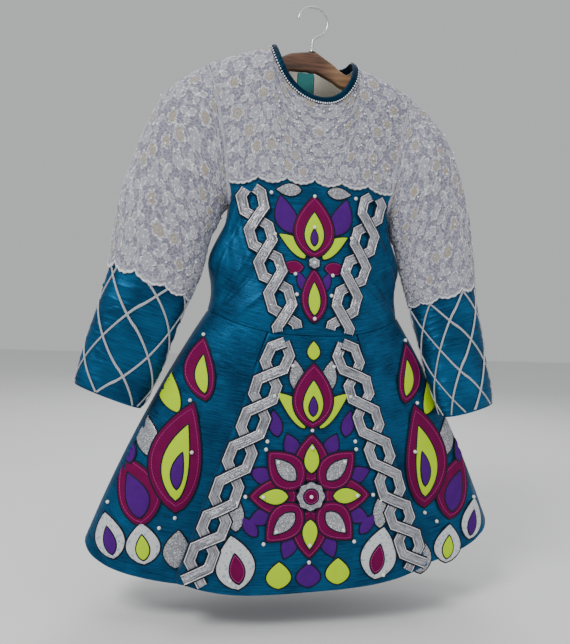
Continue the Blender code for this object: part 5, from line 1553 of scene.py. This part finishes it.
def make_welts():
    """A lace-covered welt over each armhole's seam: a circle carried round the sleeve's first ring."""
    welts = []
    for side, table in ((-1.0, LEFT_SLEEVE), (1.0, RIGHT_SLEEVE)):
        ring = sleeve_point(np.arange(200) / 200, np.full(200, 0.003), table, side)
        run = np.roll(ring, -1, axis=0) - np.roll(ring, 1, axis=0)
        run /= np.linalg.norm(run, axis=1, keepdims=True)
        out = ring - ring.mean(axis=0)
        out -= (out * run).sum(axis=1, keepdims=True) * run
        out /= np.linalg.norm(out, axis=1, keepdims=True)
        turn = 2.0 * np.pi * np.arange(8) / 8
        points = (ring[:, None] + WELT_RADIUS * (np.cos(turn)[None, :, None] * out[:, None]
                                                + np.sin(turn)[None, :, None] * np.cross(run, out)[:, None]))
        k = np.arange(8)
        faces = quads(200, 8, 0, True) + np.stack([1592 + k, 1592 + (k + 1) % 8, (k + 1) % 8, k],
                                                  axis=-1).tolist()
        params = np.stack(np.meshgrid(np.arange(200) / 400, k / 8, indexing="ij"), axis=-1).reshape(-1, 2)
        welts.append((points.reshape(-1, 3), faces, params, np.full(1600, 0.5)))
    joined, faces, params, mark = gathered(welts)
    return finished("armhole_welts", joined, faces, LACE_CLOTH, params, (0.4, 0.01), {"motif": mark})


def seam_cord(name, path, radius, finish):
    """A thin round cord along any path of points."""
    run = np.gradient(path, axis=0)
    run /= np.linalg.norm(run, axis=1, keepdims=True)
    aside = np.cross(run, (0.0, 1.0, 0.0))
    aside /= np.linalg.norm(aside, axis=1, keepdims=True)
    turn = 2.0 * np.pi * np.arange(6) / 6
    points = path[:, None] + radius * (np.cos(turn)[None, :, None] * aside[:, None]
                                       + np.sin(turn)[None, :, None] * np.cross(aside, run)[:, None])
    rows = len(path)
    faces = quads(rows, 6, 0, True) + [list(range(6)), [(rows - 1) * 6 + k for k in range(6)]]
    return finished(name, points.reshape(-1, 3), faces, finish)


def make_seams():
    """A dark cord along the waist seam at the front, painted shade where the seam's shadow falls, and the
    seam down the middle of the skirt's back.
    """
    across = np.linspace(-0.97, 0.97, 160)
    waist = seamed(lower_body(across, np.zeros(160), True), True)
    waist[:, 1] -= 0.0010
    # painted shade: a dark cord laid where the waist seam's shadow falls
    seam_cord("waist_seam_shade_line", waist, 0.0009, BAND)
    down = np.linspace(0.52, 0.995, 60)
    middle = back_panel(np.zeros(60), down, 1.0)
    middle[:, 0] = 0.0
    middle[:, 1] += 0.0008
    seam_cord("back_seam", middle, 0.0010, TEAL_BACK)


def make_lace_crystals():
    """Small crystals sewn into the lace here and there."""
    rng = np.random.default_rng(91)
    centres = []
    share, rise = rng.uniform(0.04, 0.96, 46), rng.uniform(0.12, 0.95, 46)

    def yoke(u, v):
        return seamed(upper_body(2.0 * u - 1.0, v, True, front_lobes), True)

    def back_yoke(u, v):
        return seamed(upper_body(back_across(u, 1.0), v, False, back_lobes), False)

    for point, u, v, way, lift in (
        (yoke, share, rise, 1.0, SATIN + LAYER_GAP + LACE),
        (back_yoke, share[:20], rise[:20], -1.0, SATIN + LAYER_GAP + LACE),
        (lambda u, v: sleeve_point(u, 0.70 * v, LEFT_SLEEVE, -1.0), share[:40], rise[:40] * 0.85 + 0.1, 0.0,
         SLEEVE_CLOTH / 2 + 0.0010),
        (lambda u, v: sleeve_point(u, 0.70 * v, RIGHT_SLEEVE, 1.0), share[6:], rise[6:] * 0.85 + 0.1, 0.0,
         SLEEVE_CLOTH / 2 + 0.0010),
    ):
        base = point(u, v)
        normal = surface_normals(point, u, v)
        if way == 0.0:
            middle = point(np.full(8, 0.5) + np.arange(8) / 8 - 0.5, np.full(8, 0.4)).mean(axis=0)
            way = np.sign(((base - middle) * normal).sum(axis=1, keepdims=True))
        centres.append(base + normal * way * (lift + 0.0019))
    return beads("lace_crystals", np.concatenate(centres), 0.0015, CRYSTAL, 8, 5)


# Skirt


def make_skirt():
    def front_drape(u, t):
        wave = 0.0008 * wander(u, t, 60, 9, 6) + 0.0006 * np.sin(9.0 * u + 4.0 * t)
        return np.clip(wave, -0.0010, PATCH_ROOM) * smooth_step(t, 0.1, 0.3)

    def hem_relief(u, t):
        line = hill(t, 0.962, 0.0028) + hill(t, 0.985, 0.0022)
        return -0.0004 * line + 0.0003 * smooth_step(t, 0.962, 0.968)

    made = {"skirt_front_panel": cloth_wall(
        "skirt_front_cloth", front_panel, (210, 105), SKIRT_CLOTH, TEAL, (0.34, 0.34), outward=-1.0,
        level=SKIRT_LEVEL_SHARE, drape=front_drape, relief=hem_relief)}
    for side, word in ((-1.0, "left"), (1.0, "right")):
        def flank(u, t, side=side):
            return side_panel(u, t, side)

        def flank_drape(u, t, side=side):
            spot = side_panel(u, t, side)
            share = np.abs(spot[..., 0]) / skirt_half_width(t)
            total = 0.0007 * wander(u, t, 70 + int(side), 8, 7)
            for middle, along, lean, half_length, half_width, depth in SIDE_FOLDS:
                at = middle + lean * (t - along)
                total = total + depth * hill(share, at, half_width) * hill(t, along, half_length)
            across = np.abs(spot[..., 0])
            for middle_x, middle_z, angle, half_length, half_width, depth in SIDE_CREASES:
                turn = math.radians(angle)
                along = (across - middle_x) * math.cos(turn) + (spot[..., 2] - middle_z) * math.sin(turn)
                aside = (spot[..., 2] - middle_z) * math.cos(turn) - (across - middle_x) * math.sin(turn)
                total = total + depth * hill(aside, 0.0, half_width) * hill(along, 0.0, half_length)
            total = np.clip(total, -0.0016, PATCH_ROOM)
            return (total * smooth_step(u, 0.12, 0.3) * smooth_step(1.0 - u, 0.02, 0.12)
                    * smooth_step(t, 0.05, 0.25))

        def back(u, t, side=side):
            return back_panel(u, t, side)

        def back_drape(u, t, side=side):
            wave = 0.0045 * np.sin(2.0 * np.pi * 2.4 * u + 0.6 * side) * smooth_step(t, 0.25, 0.95)
            wave = wave + 0.0014 * wander(u, t, 80 + int(side), 8, 6)
            return (wave * smooth_step(u, 0.16, 0.32) * smooth_step(1.0 - u, 0.02, 0.2)
                    * smooth_step(t, 0.05, 0.2))

        made[f"skirt_side_{word}"] = cloth_wall(
            f"skirt_side_{word}_cloth", flank, (99, 120), SKIRT_CLOTH, TEAL, (0.22, 0.32), outward=-side,
            level=SKIRT_LEVEL_SHARE, drape=flank_drape, relief=hem_relief)
        made[f"skirt_back_{word}"] = cloth_wall(
            f"skirt_back_{word}_cloth", back, (120, 120), SKIRT_CLOTH, TEAL_BACK, (0.33, 0.32), outward=side,
            level=SKIRT_LEVEL_SHARE, drape=back_drape, relief=hem_relief)
    return made


def side_surface():
    """A side panel found by x and height."""
    def surface(x, z):
        t = np.clip((WAIST_SIDE_Z - z) / 0.33, 0.0, 1.0)
        for _ in range(7):
            share = np.clip(x / skirt_half_width(t), -0.985, 0.985)
            t = np.clip(t + (skirt_ring(share, t, True)[..., 2] - z) / 0.34, -0.1, 1.1)
        return skirt_ring(np.clip(x / skirt_half_width(t), -0.985, 0.985), t, True)
    return surface


# Braids


SILVER_HALF = 0.0067


def strand_steps(span):
    """Even steps along a strand, with each corner on a step of its own and no step close beside it."""
    steps = np.arange(0.0, span[1], 0.04)
    from_corner = np.minimum(np.abs(steps % 1.0 - STRAND_CORNER), np.abs(steps % 1.0 - (1.0 - STRAND_CORNER)))
    kept = steps[((from_corner < 0.001) | (from_corner > 0.07)) & (steps > span[0] + 0.02)
                 & (steps < span[1] - 0.02)]
    return np.concatenate([[span[0]], kept, [span[1]]])


def flat_band_section(half):
    """A nearly flat padded band: a raised bright edge, a stitched groove inside, a low crown between."""
    shares = np.array([-1.0, -0.93, -0.80, -0.70, -0.60, -0.30, 0.0, 0.30, 0.60, 0.70, 0.80, 0.93, 1.0])
    tops = np.array([1.1, 2.1, 2.2, 1.5, 2.1, 2.45, 2.55, 2.45, 2.1, 1.5, 2.2, 2.1, 1.1]) * 0.001
    marks = np.array([1.0, 1.0, 1.0, 0.0, 0.5, 0.5, 0.5, 0.5, 0.5, 0.0, 1.0, 1.0, 1.0])
    upper = np.stack([half * shares, tops, marks], axis=-1)
    return np.concatenate([upper, [[half, 0.0, 1.0], [-half, 0.0, 1.0]]])


def make_braids():
    """Each strand is a padded silver strip with a white stitched rim and a dark cord along each side."""
    made, extras = {}, []
    half = SILVER_HALF
    silver = flat_band_section(half)
    cord = round_section(0.0011, 6, 0.0009)
    for side, word in ((-1.0, "left"), (1.0, "right")):
        high = [(side * x, z) for x, z in BODICE_BRAID]
        low = []
        for t, share in SKIRT_BRAID:
            spot = face_spot(side * share, np.array(t))
            low.append((float(spot[0]), float(spot[2])))
        for phase, letter in ((side, "a"), (-side, "b")):
            for kind, centre, span, surface, cloth in (
                ("bodice", high, BODICE_BRAID_SPAN, body_surface, SATIN),
                ("skirt", low, SKIRT_BRAID_SPAN, face_surface, SKIRT_CLOTH),
            ):
                line, over = strand_line(centre, strand_steps(span), phase)
                base = cloth + STRAND_LIFT + STRAND_OVER * over
                name = f"{kind}_braid_{word}_{letter}"
                made[name] = made_of(f"{name}_silver", [strip(surface, line, silver, base)], LAME)
                sideways, _ = path_sides(line)
                edges = [strip(surface, line + sideways * (way * (half + 0.0008)), cord, base - 0.0003)
                         for way in (-1.0, 1.0)]
                extras.append((name, made_of(f"{name}_edges", edges, NAVY_CORD)))
    return made, extras


# Patches: flat outlines in x and height, laid on the cloth in whole layers


def leaf(length, width, bend=0.0, count=20):
    """A leaf along +b from its foot: half a sine on each side of a bent middle."""
    share = np.linspace(0.0, 1.0, count)
    half = width / 2 * np.sin(np.pi * share ** 0.8) ** 0.85
    middle = bend * 4.0 * share * (1.0 - share)
    right = np.stack([middle + half, share * length], axis=-1)
    left = np.stack([middle - half, share * length], axis=-1)[::-1]
    return np.concatenate([right, left[1:-1]])


def disc(radius, count=28, wave=0, depth=0.0):
    """A disc, whose edge may have lobes."""
    turn = 2.0 * np.pi * np.arange(count) / count
    reach = radius * (1.0 - depth * (0.5 - 0.5 * np.cos(wave * turn)))
    return np.stack([reach * np.sin(turn), reach * np.cos(turn)], axis=-1)


def set_at(outline, a, b, angle=0.0, flip=1.0):
    """An outline turned clockwise by an angle in degrees, mirrored if flip is -1, and set at a spot."""
    turn = math.radians(angle)
    x = outline[:, 0] * math.cos(turn) + outline[:, 1] * math.sin(turn)
    z = -outline[:, 0] * math.sin(turn) + outline[:, 1] * math.cos(turn)
    return np.stack([flip * (x + a), z + b], axis=-1)


LAYER = 0.0009
CORD_HIGH = 0.0006


class Patches:
    """Collects patches by cloth, with a cord round each and beads at chosen points."""

    def __init__(self):
        self.cloths = {}
        self.cords = {"navy": [], "pink": []}
        self.beads = []

    def add(self, cloth, surface, outline, base, layer=0.0, high=0.0011):
        """A patch of cloth with a dark satin-stitched edge, and a stitched pink line inside a magenta one."""
        self.cloths.setdefault(cloth, []).append(patch(surface, outline, base + layer + 0.0005, high))
        edge = round_section(0.0012, 6) * (1.0, 0.55, 1.0) + (0.0, CORD_HIGH, 0.0)
        self.cords["navy"].append(strip(surface, outline, edge, base + layer, looped=True))
        if cloth == "magenta":
            middle = outline.mean(axis=0)
            inner = middle + (outline - middle) * 0.87
            seam = round_section(0.00040, 4, 0.0005 + 0.8 * high)
            self.cords["pink"].append(strip(surface, inner, seam, base + layer, looped=True))

    def bead(self, surface, a, b, base):
        flat = np.array([[a, b]])
        self.beads.append(lifted(surface, flat, np.array([base + 0.0024]))[0])


def make_patches():
    """The patches: a bud and leaves on the bodice, a round flower under a bud on the front panel, and buds
    and leaves on the side panels."""
    kept = Patches()
    add, top, face = kept.add, body_surface, face_surface
    cloth = SATIN
    for name, outline, layer in (
        ("magenta", set_at(leaf(0.090, 0.058), 0.0, -0.374), 1),
        ("lime", set_at(leaf(0.056, 0.028), 0.0, -0.364), 2),
        ("purple", set_at(leaf(0.024, 0.010), 0.0, -0.356), 3),
        ("magenta", set_at(leaf(0.076, 0.036), 0.0, -0.462), 1),
        ("lime", set_at(leaf(0.046, 0.017), 0.0, -0.452), 2),
        ("silver", set_at(disc(0.0085, 28, 6, 0.15), 0.0, -0.380), 3),
    ):
        add(name, top, outline, cloth, LAYER * layer)
    for flip in (-1.0, 1.0):
        for name, outline in (
            ("purple", set_at(leaf(0.058, 0.030, 0.004), 0.026, -0.340, 22.0, flip)),
            ("lime", set_at(leaf(0.050, 0.020, -0.004), 0.012, -0.374, 48.0, flip)),
            ("magenta", set_at(leaf(0.034, 0.018), 0.014, -0.386, 92.0, flip)),
            ("silver", set_at(leaf(0.036, 0.018), 0.018, -0.278, 92.0, flip)),
            ("purple", set_at(leaf(0.030, 0.013), 0.012, -0.420, 20.0, flip)),
        ):
            add(name, top, outline, cloth)
        for x, z in ((0.060, -0.284), (0.054, -0.342), (0.050, -0.386), (0.026, -0.396), (0.024, -0.424)):
            kept.bead(top, flip * x, z, cloth)
    for z, layer in ((-0.286, 1), (-0.330, 2), (-0.380, 3), (-0.456, 2)):
        kept.bead(top, 0.0, z, cloth + LAYER * layer)

    cloth, centre = SKIRT_CLOTH, -0.692
    for index in range(8):
        spin, half = math.radians(45.0 * index), math.radians(45.0 * index + 22.5)
        add("magenta", face, set_at(leaf(0.066, 0.048), 0.017 * math.sin(spin), centre + 0.017
                                    * math.cos(spin),
                                    45.0 * index), cloth, LAYER * (1 + index % 2))
        add("lime" if index % 2 == 0 else "silver", face,
            set_at(leaf(0.040, 0.021), 0.030 * math.sin(spin), centre + 0.030 * math.cos(spin), 45.0 * index),
            cloth, LAYER * 3)
        add("purple", face, set_at(leaf(0.034, 0.022), 0.055 * math.sin(half), centre + 0.055
                                   * math.cos(half),
                                   45.0 * index + 22.5), cloth)
        kept.bead(face, 0.087 * math.sin(spin), centre + 0.087 * math.cos(spin), cloth)
        kept.bead(face, 0.064 * math.sin(spin), centre + 0.064 * math.cos(spin), cloth + LAYER * 3)
    add("silver", face, set_at(disc(0.020, 32, 8, 0.12), 0.0, centre), cloth, LAYER * 4)
    add("magenta", face, set_at(disc(0.010), 0.0, centre), cloth, LAYER * 5)
    kept.bead(face, 0.0, centre, cloth + LAYER * 5)
    for name, outline, layer in (
        ("magenta", set_at(leaf(0.088, 0.056), 0.0, -0.603), 3),
        ("lime", set_at(leaf(0.056, 0.028), 0.0, -0.594), 4),
        ("purple", set_at(leaf(0.026, 0.012), 0.0, -0.586), 5),
        ("lime", set_at(leaf(0.026, 0.018), 0.0, -0.512), 0),
    ):
        add(name, face, outline, cloth, LAYER * layer)
    for flip in (-1.0, 1.0):
        for name, outline in (
            ("silver", set_at(leaf(0.046, 0.022), 0.018, -0.556, 10.0, flip)),
            ("purple", set_at(leaf(0.036, 0.018), 0.046, -0.614, 12.0, flip)),
            ("silver", set_at(leaf(0.048, 0.022), 0.098, -0.738, 2.0, flip)),
            ("purple", set_at(leaf(0.034, 0.016), 0.070, -0.744, 40.0, flip)),
        ):
            add(name, face, outline, cloth)
        add("lime", face, set_at(leaf(0.062, 0.024, -0.006), 0.010, -0.603, 40.0, flip), cloth, LAYER * 2)
        for x, z in ((0.028, -0.520), (0.052, -0.560), (0.060, -0.620), (0.098, -0.700), (0.104, -0.800)):
            kept.bead(face, flip * x, z, cloth)
    for name, x, high, wide in (
        ("purple", 0.0, 0.032, 0.034), ("lime", 0.040, 0.036, 0.034), ("frost", 0.092, 0.072, 0.052),
        ("lime", -0.040, 0.036, 0.034), ("frost", -0.092, 0.072, 0.052),
    ):
        z = -0.8125 + 0.35 * x * x + HEM_LEAN * x
        add(name, face, set_at(leaf(high, wide), x, z, 10.0 * np.sign(x) * (high > 0.05)), cloth)
        if high > 0.05:
            add("magenta", face, set_at(leaf(0.040, 0.020), x, z + 0.008, 10.0 * np.sign(x)), cloth, LAYER)

    for side in (-1.0, 1.0):
        flank = side_surface()
        for name, outline, layer in (
            ("magenta", set_at(leaf(0.150, 0.070, 0.012), 0.176, -0.722, -8.0, side), 1),
            ("lime", set_at(leaf(0.104, 0.036, 0.008), 0.176, -0.706, -8.0, side), 2),
            ("purple", set_at(leaf(0.050, 0.016, 0.003), 0.175, -0.690, -8.0, side), 3),
            ("magenta", set_at(leaf(0.096, 0.058, -0.008), 0.218, -0.742, 18.0, side), 0),
            ("purple", set_at(leaf(0.060, 0.031, -0.004), 0.221, -0.731, 18.0, side), 1),
            ("lime", set_at(leaf(0.066, 0.028, 0.006), 0.176, -0.590, 14.0, side), 0),
            ("magenta", set_at(leaf(0.086, 0.040, 0.008), 0.140, -0.572, 2.0, side), 1),
            ("lime", set_at(leaf(0.052, 0.017, 0.004), 0.141, -0.562, 2.0, side), 2),
            ("silver", set_at(leaf(0.056, 0.030), 0.212, -0.650, 8.0, side), 0),
            ("purple", set_at(leaf(0.048, 0.024), 0.236, -0.662, 18.0, side), 1),
            ("silver", set_at(leaf(0.052, 0.036), 0.174, -0.806 - 0.010 * side, -4.0, side), 0),
            ("frost", set_at(leaf(0.056, 0.046), 0.214, -0.798 - 0.006 * side, 6.0, side), 0),
            ("lime", set_at(leaf(0.034, 0.018), 0.215, -0.792 - 0.006 * side, 6.0, side), 1),
            ("frost", set_at(leaf(0.060, 0.040), 0.254, -0.781 + 0.006 * side, 14.0, side), 0),
            ("purple", set_at(leaf(0.036, 0.016), 0.256, -0.775 + 0.006 * side, 14.0, side), 1),
        ):
            add(name, flank, outline, SKIRT_CLOTH, LAYER * layer)
        for x, z, layer in ((0.143, -0.484, 0), (0.190, -0.522, 0), (0.160, -0.572, 0), (0.156, -0.640, 2),
                            (0.220, -0.590, 0), (0.250, -0.612, 0), (0.256, -0.655, 0), (0.176, -0.728, 0),
                            (0.196, -0.742, 0), (0.264, -0.716, 0)):
            kept.bead(flank, side * x, z, SKIRT_CLOTH + LAYER * layer)

    shades = {"magenta": MAGENTA, "lime": LIME, "purple": PURPLE, "silver": GLITTER, "frost": FROST}
    made = [made_of(f"patches_{name}", pieces, shades[name]) for name, pieces in kept.cloths.items()]
    made.append(made_of("patch_cords_navy", kept.cords["navy"], NAVY_CORD))
    made.append(made_of("patch_cords_pink", kept.cords["pink"], PINK_CORD))
    made.append(beads("patch_pearls", kept.beads, 0.0026, PEARL, 12, 7))
    return made


# Zip


def make_zip():
    """The tape on both sides of the chain, and its teeth: small blocks that point in by turns."""
    def tape(u, v):
        z = ZIP_TOP_Z + (ZIP_BOTTOM_Z - ZIP_TOP_Z) * v
        return np.stack([ZIP_TAPE_HALF * (2.0 * u - 1.0), back_line(z) + 0.0, z], axis=-1)

    ribbon = cloth_wall("zip_tape_cloth", tape, (24, 240), ZIP_TAPE_OUTSIDE - ZIP_TAPE_INSIDE, ZIP_TAPE,
                        (0.024, 0.5),
                        layer=ZIP_TAPE_INSIDE, outward=1.0,
                        relief=lambda u, v: 0.0011 * hill(u, 0.5, 0.10) + 0.00012
                        * np.sin(2.0 * np.pi * 230.0 * v))
    heights = np.arange(ZIP_TOP_Z - 0.003, ZIP_BOTTOM_Z + 0.004, -0.0011)
    way = np.where(np.arange(len(heights)) % 2 == 0, 1.0, -1.0)
    block = np.array([(x, y, z) for x in (-1.0, 1.0) for y in (-1.0, 1.0) for z in (-1.0, 1.0)])
    size = np.array([0.00125, 0.0007, 0.00040])
    centres = np.stack([way * 0.00075, back_line(heights) + 0.0010, heights], axis=-1)
    points = (centres[:, None, :] + block[None] * size).reshape(-1, 3)
    sides = ((0, 1, 3, 2), (4, 6, 7, 5), (0, 4, 5, 1), (2, 3, 7, 6), (0, 2, 6, 4), (1, 5, 7, 3))
    faces = [[8 * index + k for k in side] for index in range(len(heights)) for side in sides]
    teeth = finished("zip_teeth", points, faces, ZIP_METAL, smooth=False)
    return {"zip_tape": ribbon}, [teeth]


# Hanger


def tube(name, path, radii, finish, sides=16):
    """A round tube along a path in the plane y = 0, with its own radius at each point."""
    run = np.gradient(path, axis=0)
    run /= np.linalg.norm(run, axis=1, keepdims=True)
    turn = 2.0 * np.pi * np.arange(sides) / sides
    across = radii[:, None] * np.cos(turn)
    points = np.stack([path[:, 0:1] + run[:, 1:2] * across, radii[:, None] * np.sin(turn),
                       path[:, 1:2] - run[:, 0:1] * across], axis=-1)
    rows = len(path)
    faces = quads(rows, sides, 0, True) + [list(range(sides)), [(rows - 1) * sides + k for k in range(sides)]]
    return finished(name, points.reshape(-1, 3), faces, finish)


def make_hanger():
    x = np.linspace(-HANGER_HALF_SPAN, HANGER_HALF_SPAN, 169)
    size = np.abs(x) / HANGER_HALF_SPAN
    cloth = ridge_height(np.maximum(np.abs(x), NECK_HALF_WIDTH)) + hang_tilt(x, np.full_like(x, -0.1))
    seated = smooth_step(np.abs(x), *HANGER_RISE)
    arm = cloth - HANGER_UNDER_NECK + (HANGER_UNDER_NECK + HANGER_IN_SHOULDER) * seated
    fall = np.where(x > 0, HANGER_FALL_RIGHT, HANGER_FALL_LEFT)
    slope = HANGER_PEAK_Z - fall * (np.sqrt(np.maximum(np.abs(x) - HANGER_CREST_HALF, 0.0) ** 2 + 1e-8)
                                    - 1e-4)
    blend = smooth_step(np.abs(x), 0.030, 0.062)
    top = slope * (1.0 - blend) + arm * blend
    high = HANGER_CENTRE_HEIGHT + (HANGER_END_HEIGHT - HANGER_CENTRE_HEIGHT) * np.minimum(size * 1.4, 1.0)
    end = np.sqrt(np.maximum(1.0 - np.maximum(size - 0.94, 0.0) ** 2 / 0.0040, 0.05))
    turn = 2.0 * np.pi * np.arange(28) / 28
    round_x = np.sign(np.cos(turn)) * np.abs(np.cos(turn)) ** 0.5
    round_z = np.sign(np.sin(turn)) * np.abs(np.sin(turn)) ** 0.5
    middle = top - high / 2
    points = np.stack([
        np.repeat(x[:, None], 28, axis=1),
        (HANGER_HALF_THICKNESS * end)[:, None] * round_x,
        middle[:, None] + (high / 2 * end)[:, None] * round_z,
    ], axis=-1)
    faces = quads(len(x), 28, 0, True) + [list(range(28)), [(len(x) - 1) * 28 + k for k in range(28)]]
    wood = finished("hanger_arms", points.reshape(-1, 3), faces, WOOD)

    centre_z = HOOK_WIRE - HOOK_RADIUS
    foot = HANGER_PEAK_Z + SEAM_GAP
    start = math.radians(HOOK_START)
    joint = np.array([HOOK_RADIUS * math.cos(start), centre_z + HOOK_RADIUS * math.sin(start)])
    heading = np.array([-math.sin(start), math.cos(start)])
    s = np.linspace(0.0, 1.0, 24)[:-1, None]
    low = np.array([0.0, joint[1] - 0.012])
    stem = (low * (1 - s) ** 3 + 3 * (low + (0.0, 0.006)) * s * (1 - s) ** 2
            + 3 * (joint - heading * 0.012) * s**2 * (1 - s) + joint * s**3)
    turn = np.radians(np.linspace(HOOK_START, HOOK_END, 90))
    arc = np.stack([HOOK_RADIUS * np.cos(turn), centre_z + HOOK_RADIUS * np.sin(turn)], axis=-1)
    rise = np.linspace(foot + HOOK_COLLAR + 0.0002, low[1], 6)[:-1]
    straight = np.stack([np.zeros(5), rise], axis=-1)
    collar = np.array([(0.0, foot), (0.0, foot + HOOK_COLLAR * 0.7), (0.0, foot + HOOK_COLLAR)])
    path = np.concatenate([collar, straight, stem, arc])
    radii = np.full(len(path), HOOK_WIRE)
    radii[:3] = (HOOK_COLLAR_RADIUS, HOOK_COLLAR_RADIUS, HOOK_COLLAR_RADIUS * 0.8)
    radii[-4:] = HOOK_WIRE * np.array([1.0, 0.93, 0.75, 0.4])
    hook = tube("hanger_hook_wire", path, radii, STEEL)
    return {"hanger_wood": wood, "hanger_hook": hook}


# Floor, light and camera


CAMERA_SPOT = (-0.1916, -0.9027, -0.4571)
CAMERA_YAW = 10.38
CAMERA_RISE = 0.29
CAMERA_ROLL = 2.02
CAMERA_LENS = 39.54


def make_stage():
    z = solid_box[0][2] - 0.055
    points = [(-6.0, -6.0, z), (6.0, -6.0, z), (6.0, 6.0, z), (-6.0, 6.0, z)]
    mesh = bpy.data.meshes.new("floor")
    mesh.from_pydata(points, [], [(0, 1, 2, 3)])
    floor = bpy.data.objects.new("floor", mesh)
    bpy.context.scene.collection.objects.link(floor)
    mesh.materials.append(floor_paint().material)
    for name, spot, size, power, warmth in (
        ("key", (-1.3, -1.4, 1.3), 0.8, 46.0, (1.0, 0.99, 0.97)),
        ("fill", (1.9, -1.5, 0.1), 1.6, 8.0, (0.96, 0.98, 1.0)),
        ("rim", (0.5, 1.9, 1.0), 1.5, 20.0, (1.0, 1.0, 1.0)),
        ("top", (0.0, -0.2, 1.9), 1.6, 12.0, (1.0, 1.0, 1.0)),
    ):
        lamp = bpy.data.lights.new(name, "AREA")
        lamp.size = size
        lamp.energy = power
        lamp.color = warmth
        holder = bpy.data.objects.new(name, lamp)
        bpy.context.scene.collection.objects.link(holder)
        aim = Vector((0.0, 0.0, -0.42)) - Vector(spot)
        holder.matrix_world = Matrix.Translation(spot) @ aim.to_track_quat("-Z", "Y").to_matrix().to_4x4()
    world = bpy.data.worlds.new("room")
    world.use_nodes = True
    world.node_tree.nodes["Background"].inputs["Color"].default_value = (0.86, 0.87, 0.88, 1.0)
    world.node_tree.nodes["Background"].inputs["Strength"].default_value = 0.60
    bpy.context.scene.world = world


def make_camera():
    yaw, rise, roll = (math.radians(a) for a in (CAMERA_YAW, CAMERA_RISE, CAMERA_ROLL))
    ahead = Vector((math.sin(yaw) * math.cos(rise), math.cos(yaw) * math.cos(rise), -math.sin(rise)))
    right = Vector((math.cos(yaw), -math.sin(yaw), 0.0))
    up = right.cross(ahead)
    level = math.cos(roll) * right + math.sin(roll) * up
    upright = -math.sin(roll) * right + math.cos(roll) * up
    turned = Matrix((level, upright, -ahead)).transposed().to_4x4()
    lens = bpy.data.cameras.new("photo")
    lens.sensor_fit = "HORIZONTAL"
    lens.sensor_width = 36.0
    lens.lens = CAMERA_LENS
    lens.clip_start = 0.01
    holder = bpy.data.objects.new("photo", lens)
    holder.matrix_world = Matrix.Translation(CAMERA_SPOT) @ turned
    bpy.context.scene.collection.objects.link(holder)
    bpy.context.scene.camera = holder


# flat cut of each piece of cloth: width, length, area
CUTS = {
    "bodice_front": (0.36, 0.25, 0.067),
    "bodice_back_left": (0.16, 0.22, 0.030),
    "bodice_back_right": (0.16, 0.22, 0.030),
    "yoke_front": (0.34, 0.20, 0.0475),
    "yoke_back_left": (0.17, 0.20, 0.0277),
    "yoke_back_right": (0.17, 0.20, 0.0263),
    "lining_back_left": (0.09, 0.11, 0.008),
    "lining_back_right": (0.09, 0.11, 0.008),
    "sleeve_upper_left": (0.43, 0.32, 0.089),
    "sleeve_upper_right": (0.43, 0.32, 0.078),
    "sleeve_lower_left": (0.29, 0.20, 0.050),
    "sleeve_lower_right": (0.29, 0.20, 0.050),
    "skirt_front_panel": (0.36, 0.35, 0.092),
    "skirt_side_left": (0.24, 0.33, 0.055),
    "skirt_side_right": (0.24, 0.33, 0.055),
    "skirt_back_left": (0.35, 0.34, 0.093),
    "skirt_back_right": (0.35, 0.34, 0.091),
}


def main():
    make_camera()
    make_stage()
    made = make_bodice()
    bindings, _ = make_binding()
    sleeves, lattices = make_sleeves()
    skirts = make_skirt()
    braids, _ = make_braids()
    zips, _ = make_zip()
    hangers = make_hanger()
    make_patches()
    make_welts()
    make_seams()
    make_lace_crystals()
    for group in (made, bindings, sleeves, skirts, braids, zips, hangers):
        for node, piece in group.items():
            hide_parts(node)
    for node in ("zip_slider", "zip_pull"):
        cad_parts[node].data.materials.clear()
        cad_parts[node].data.materials.append(ZIP_METAL)
    for node, (width, length, area) in CUTS.items():
        extra = [piece for key, piece in lattices if key == node]


main()
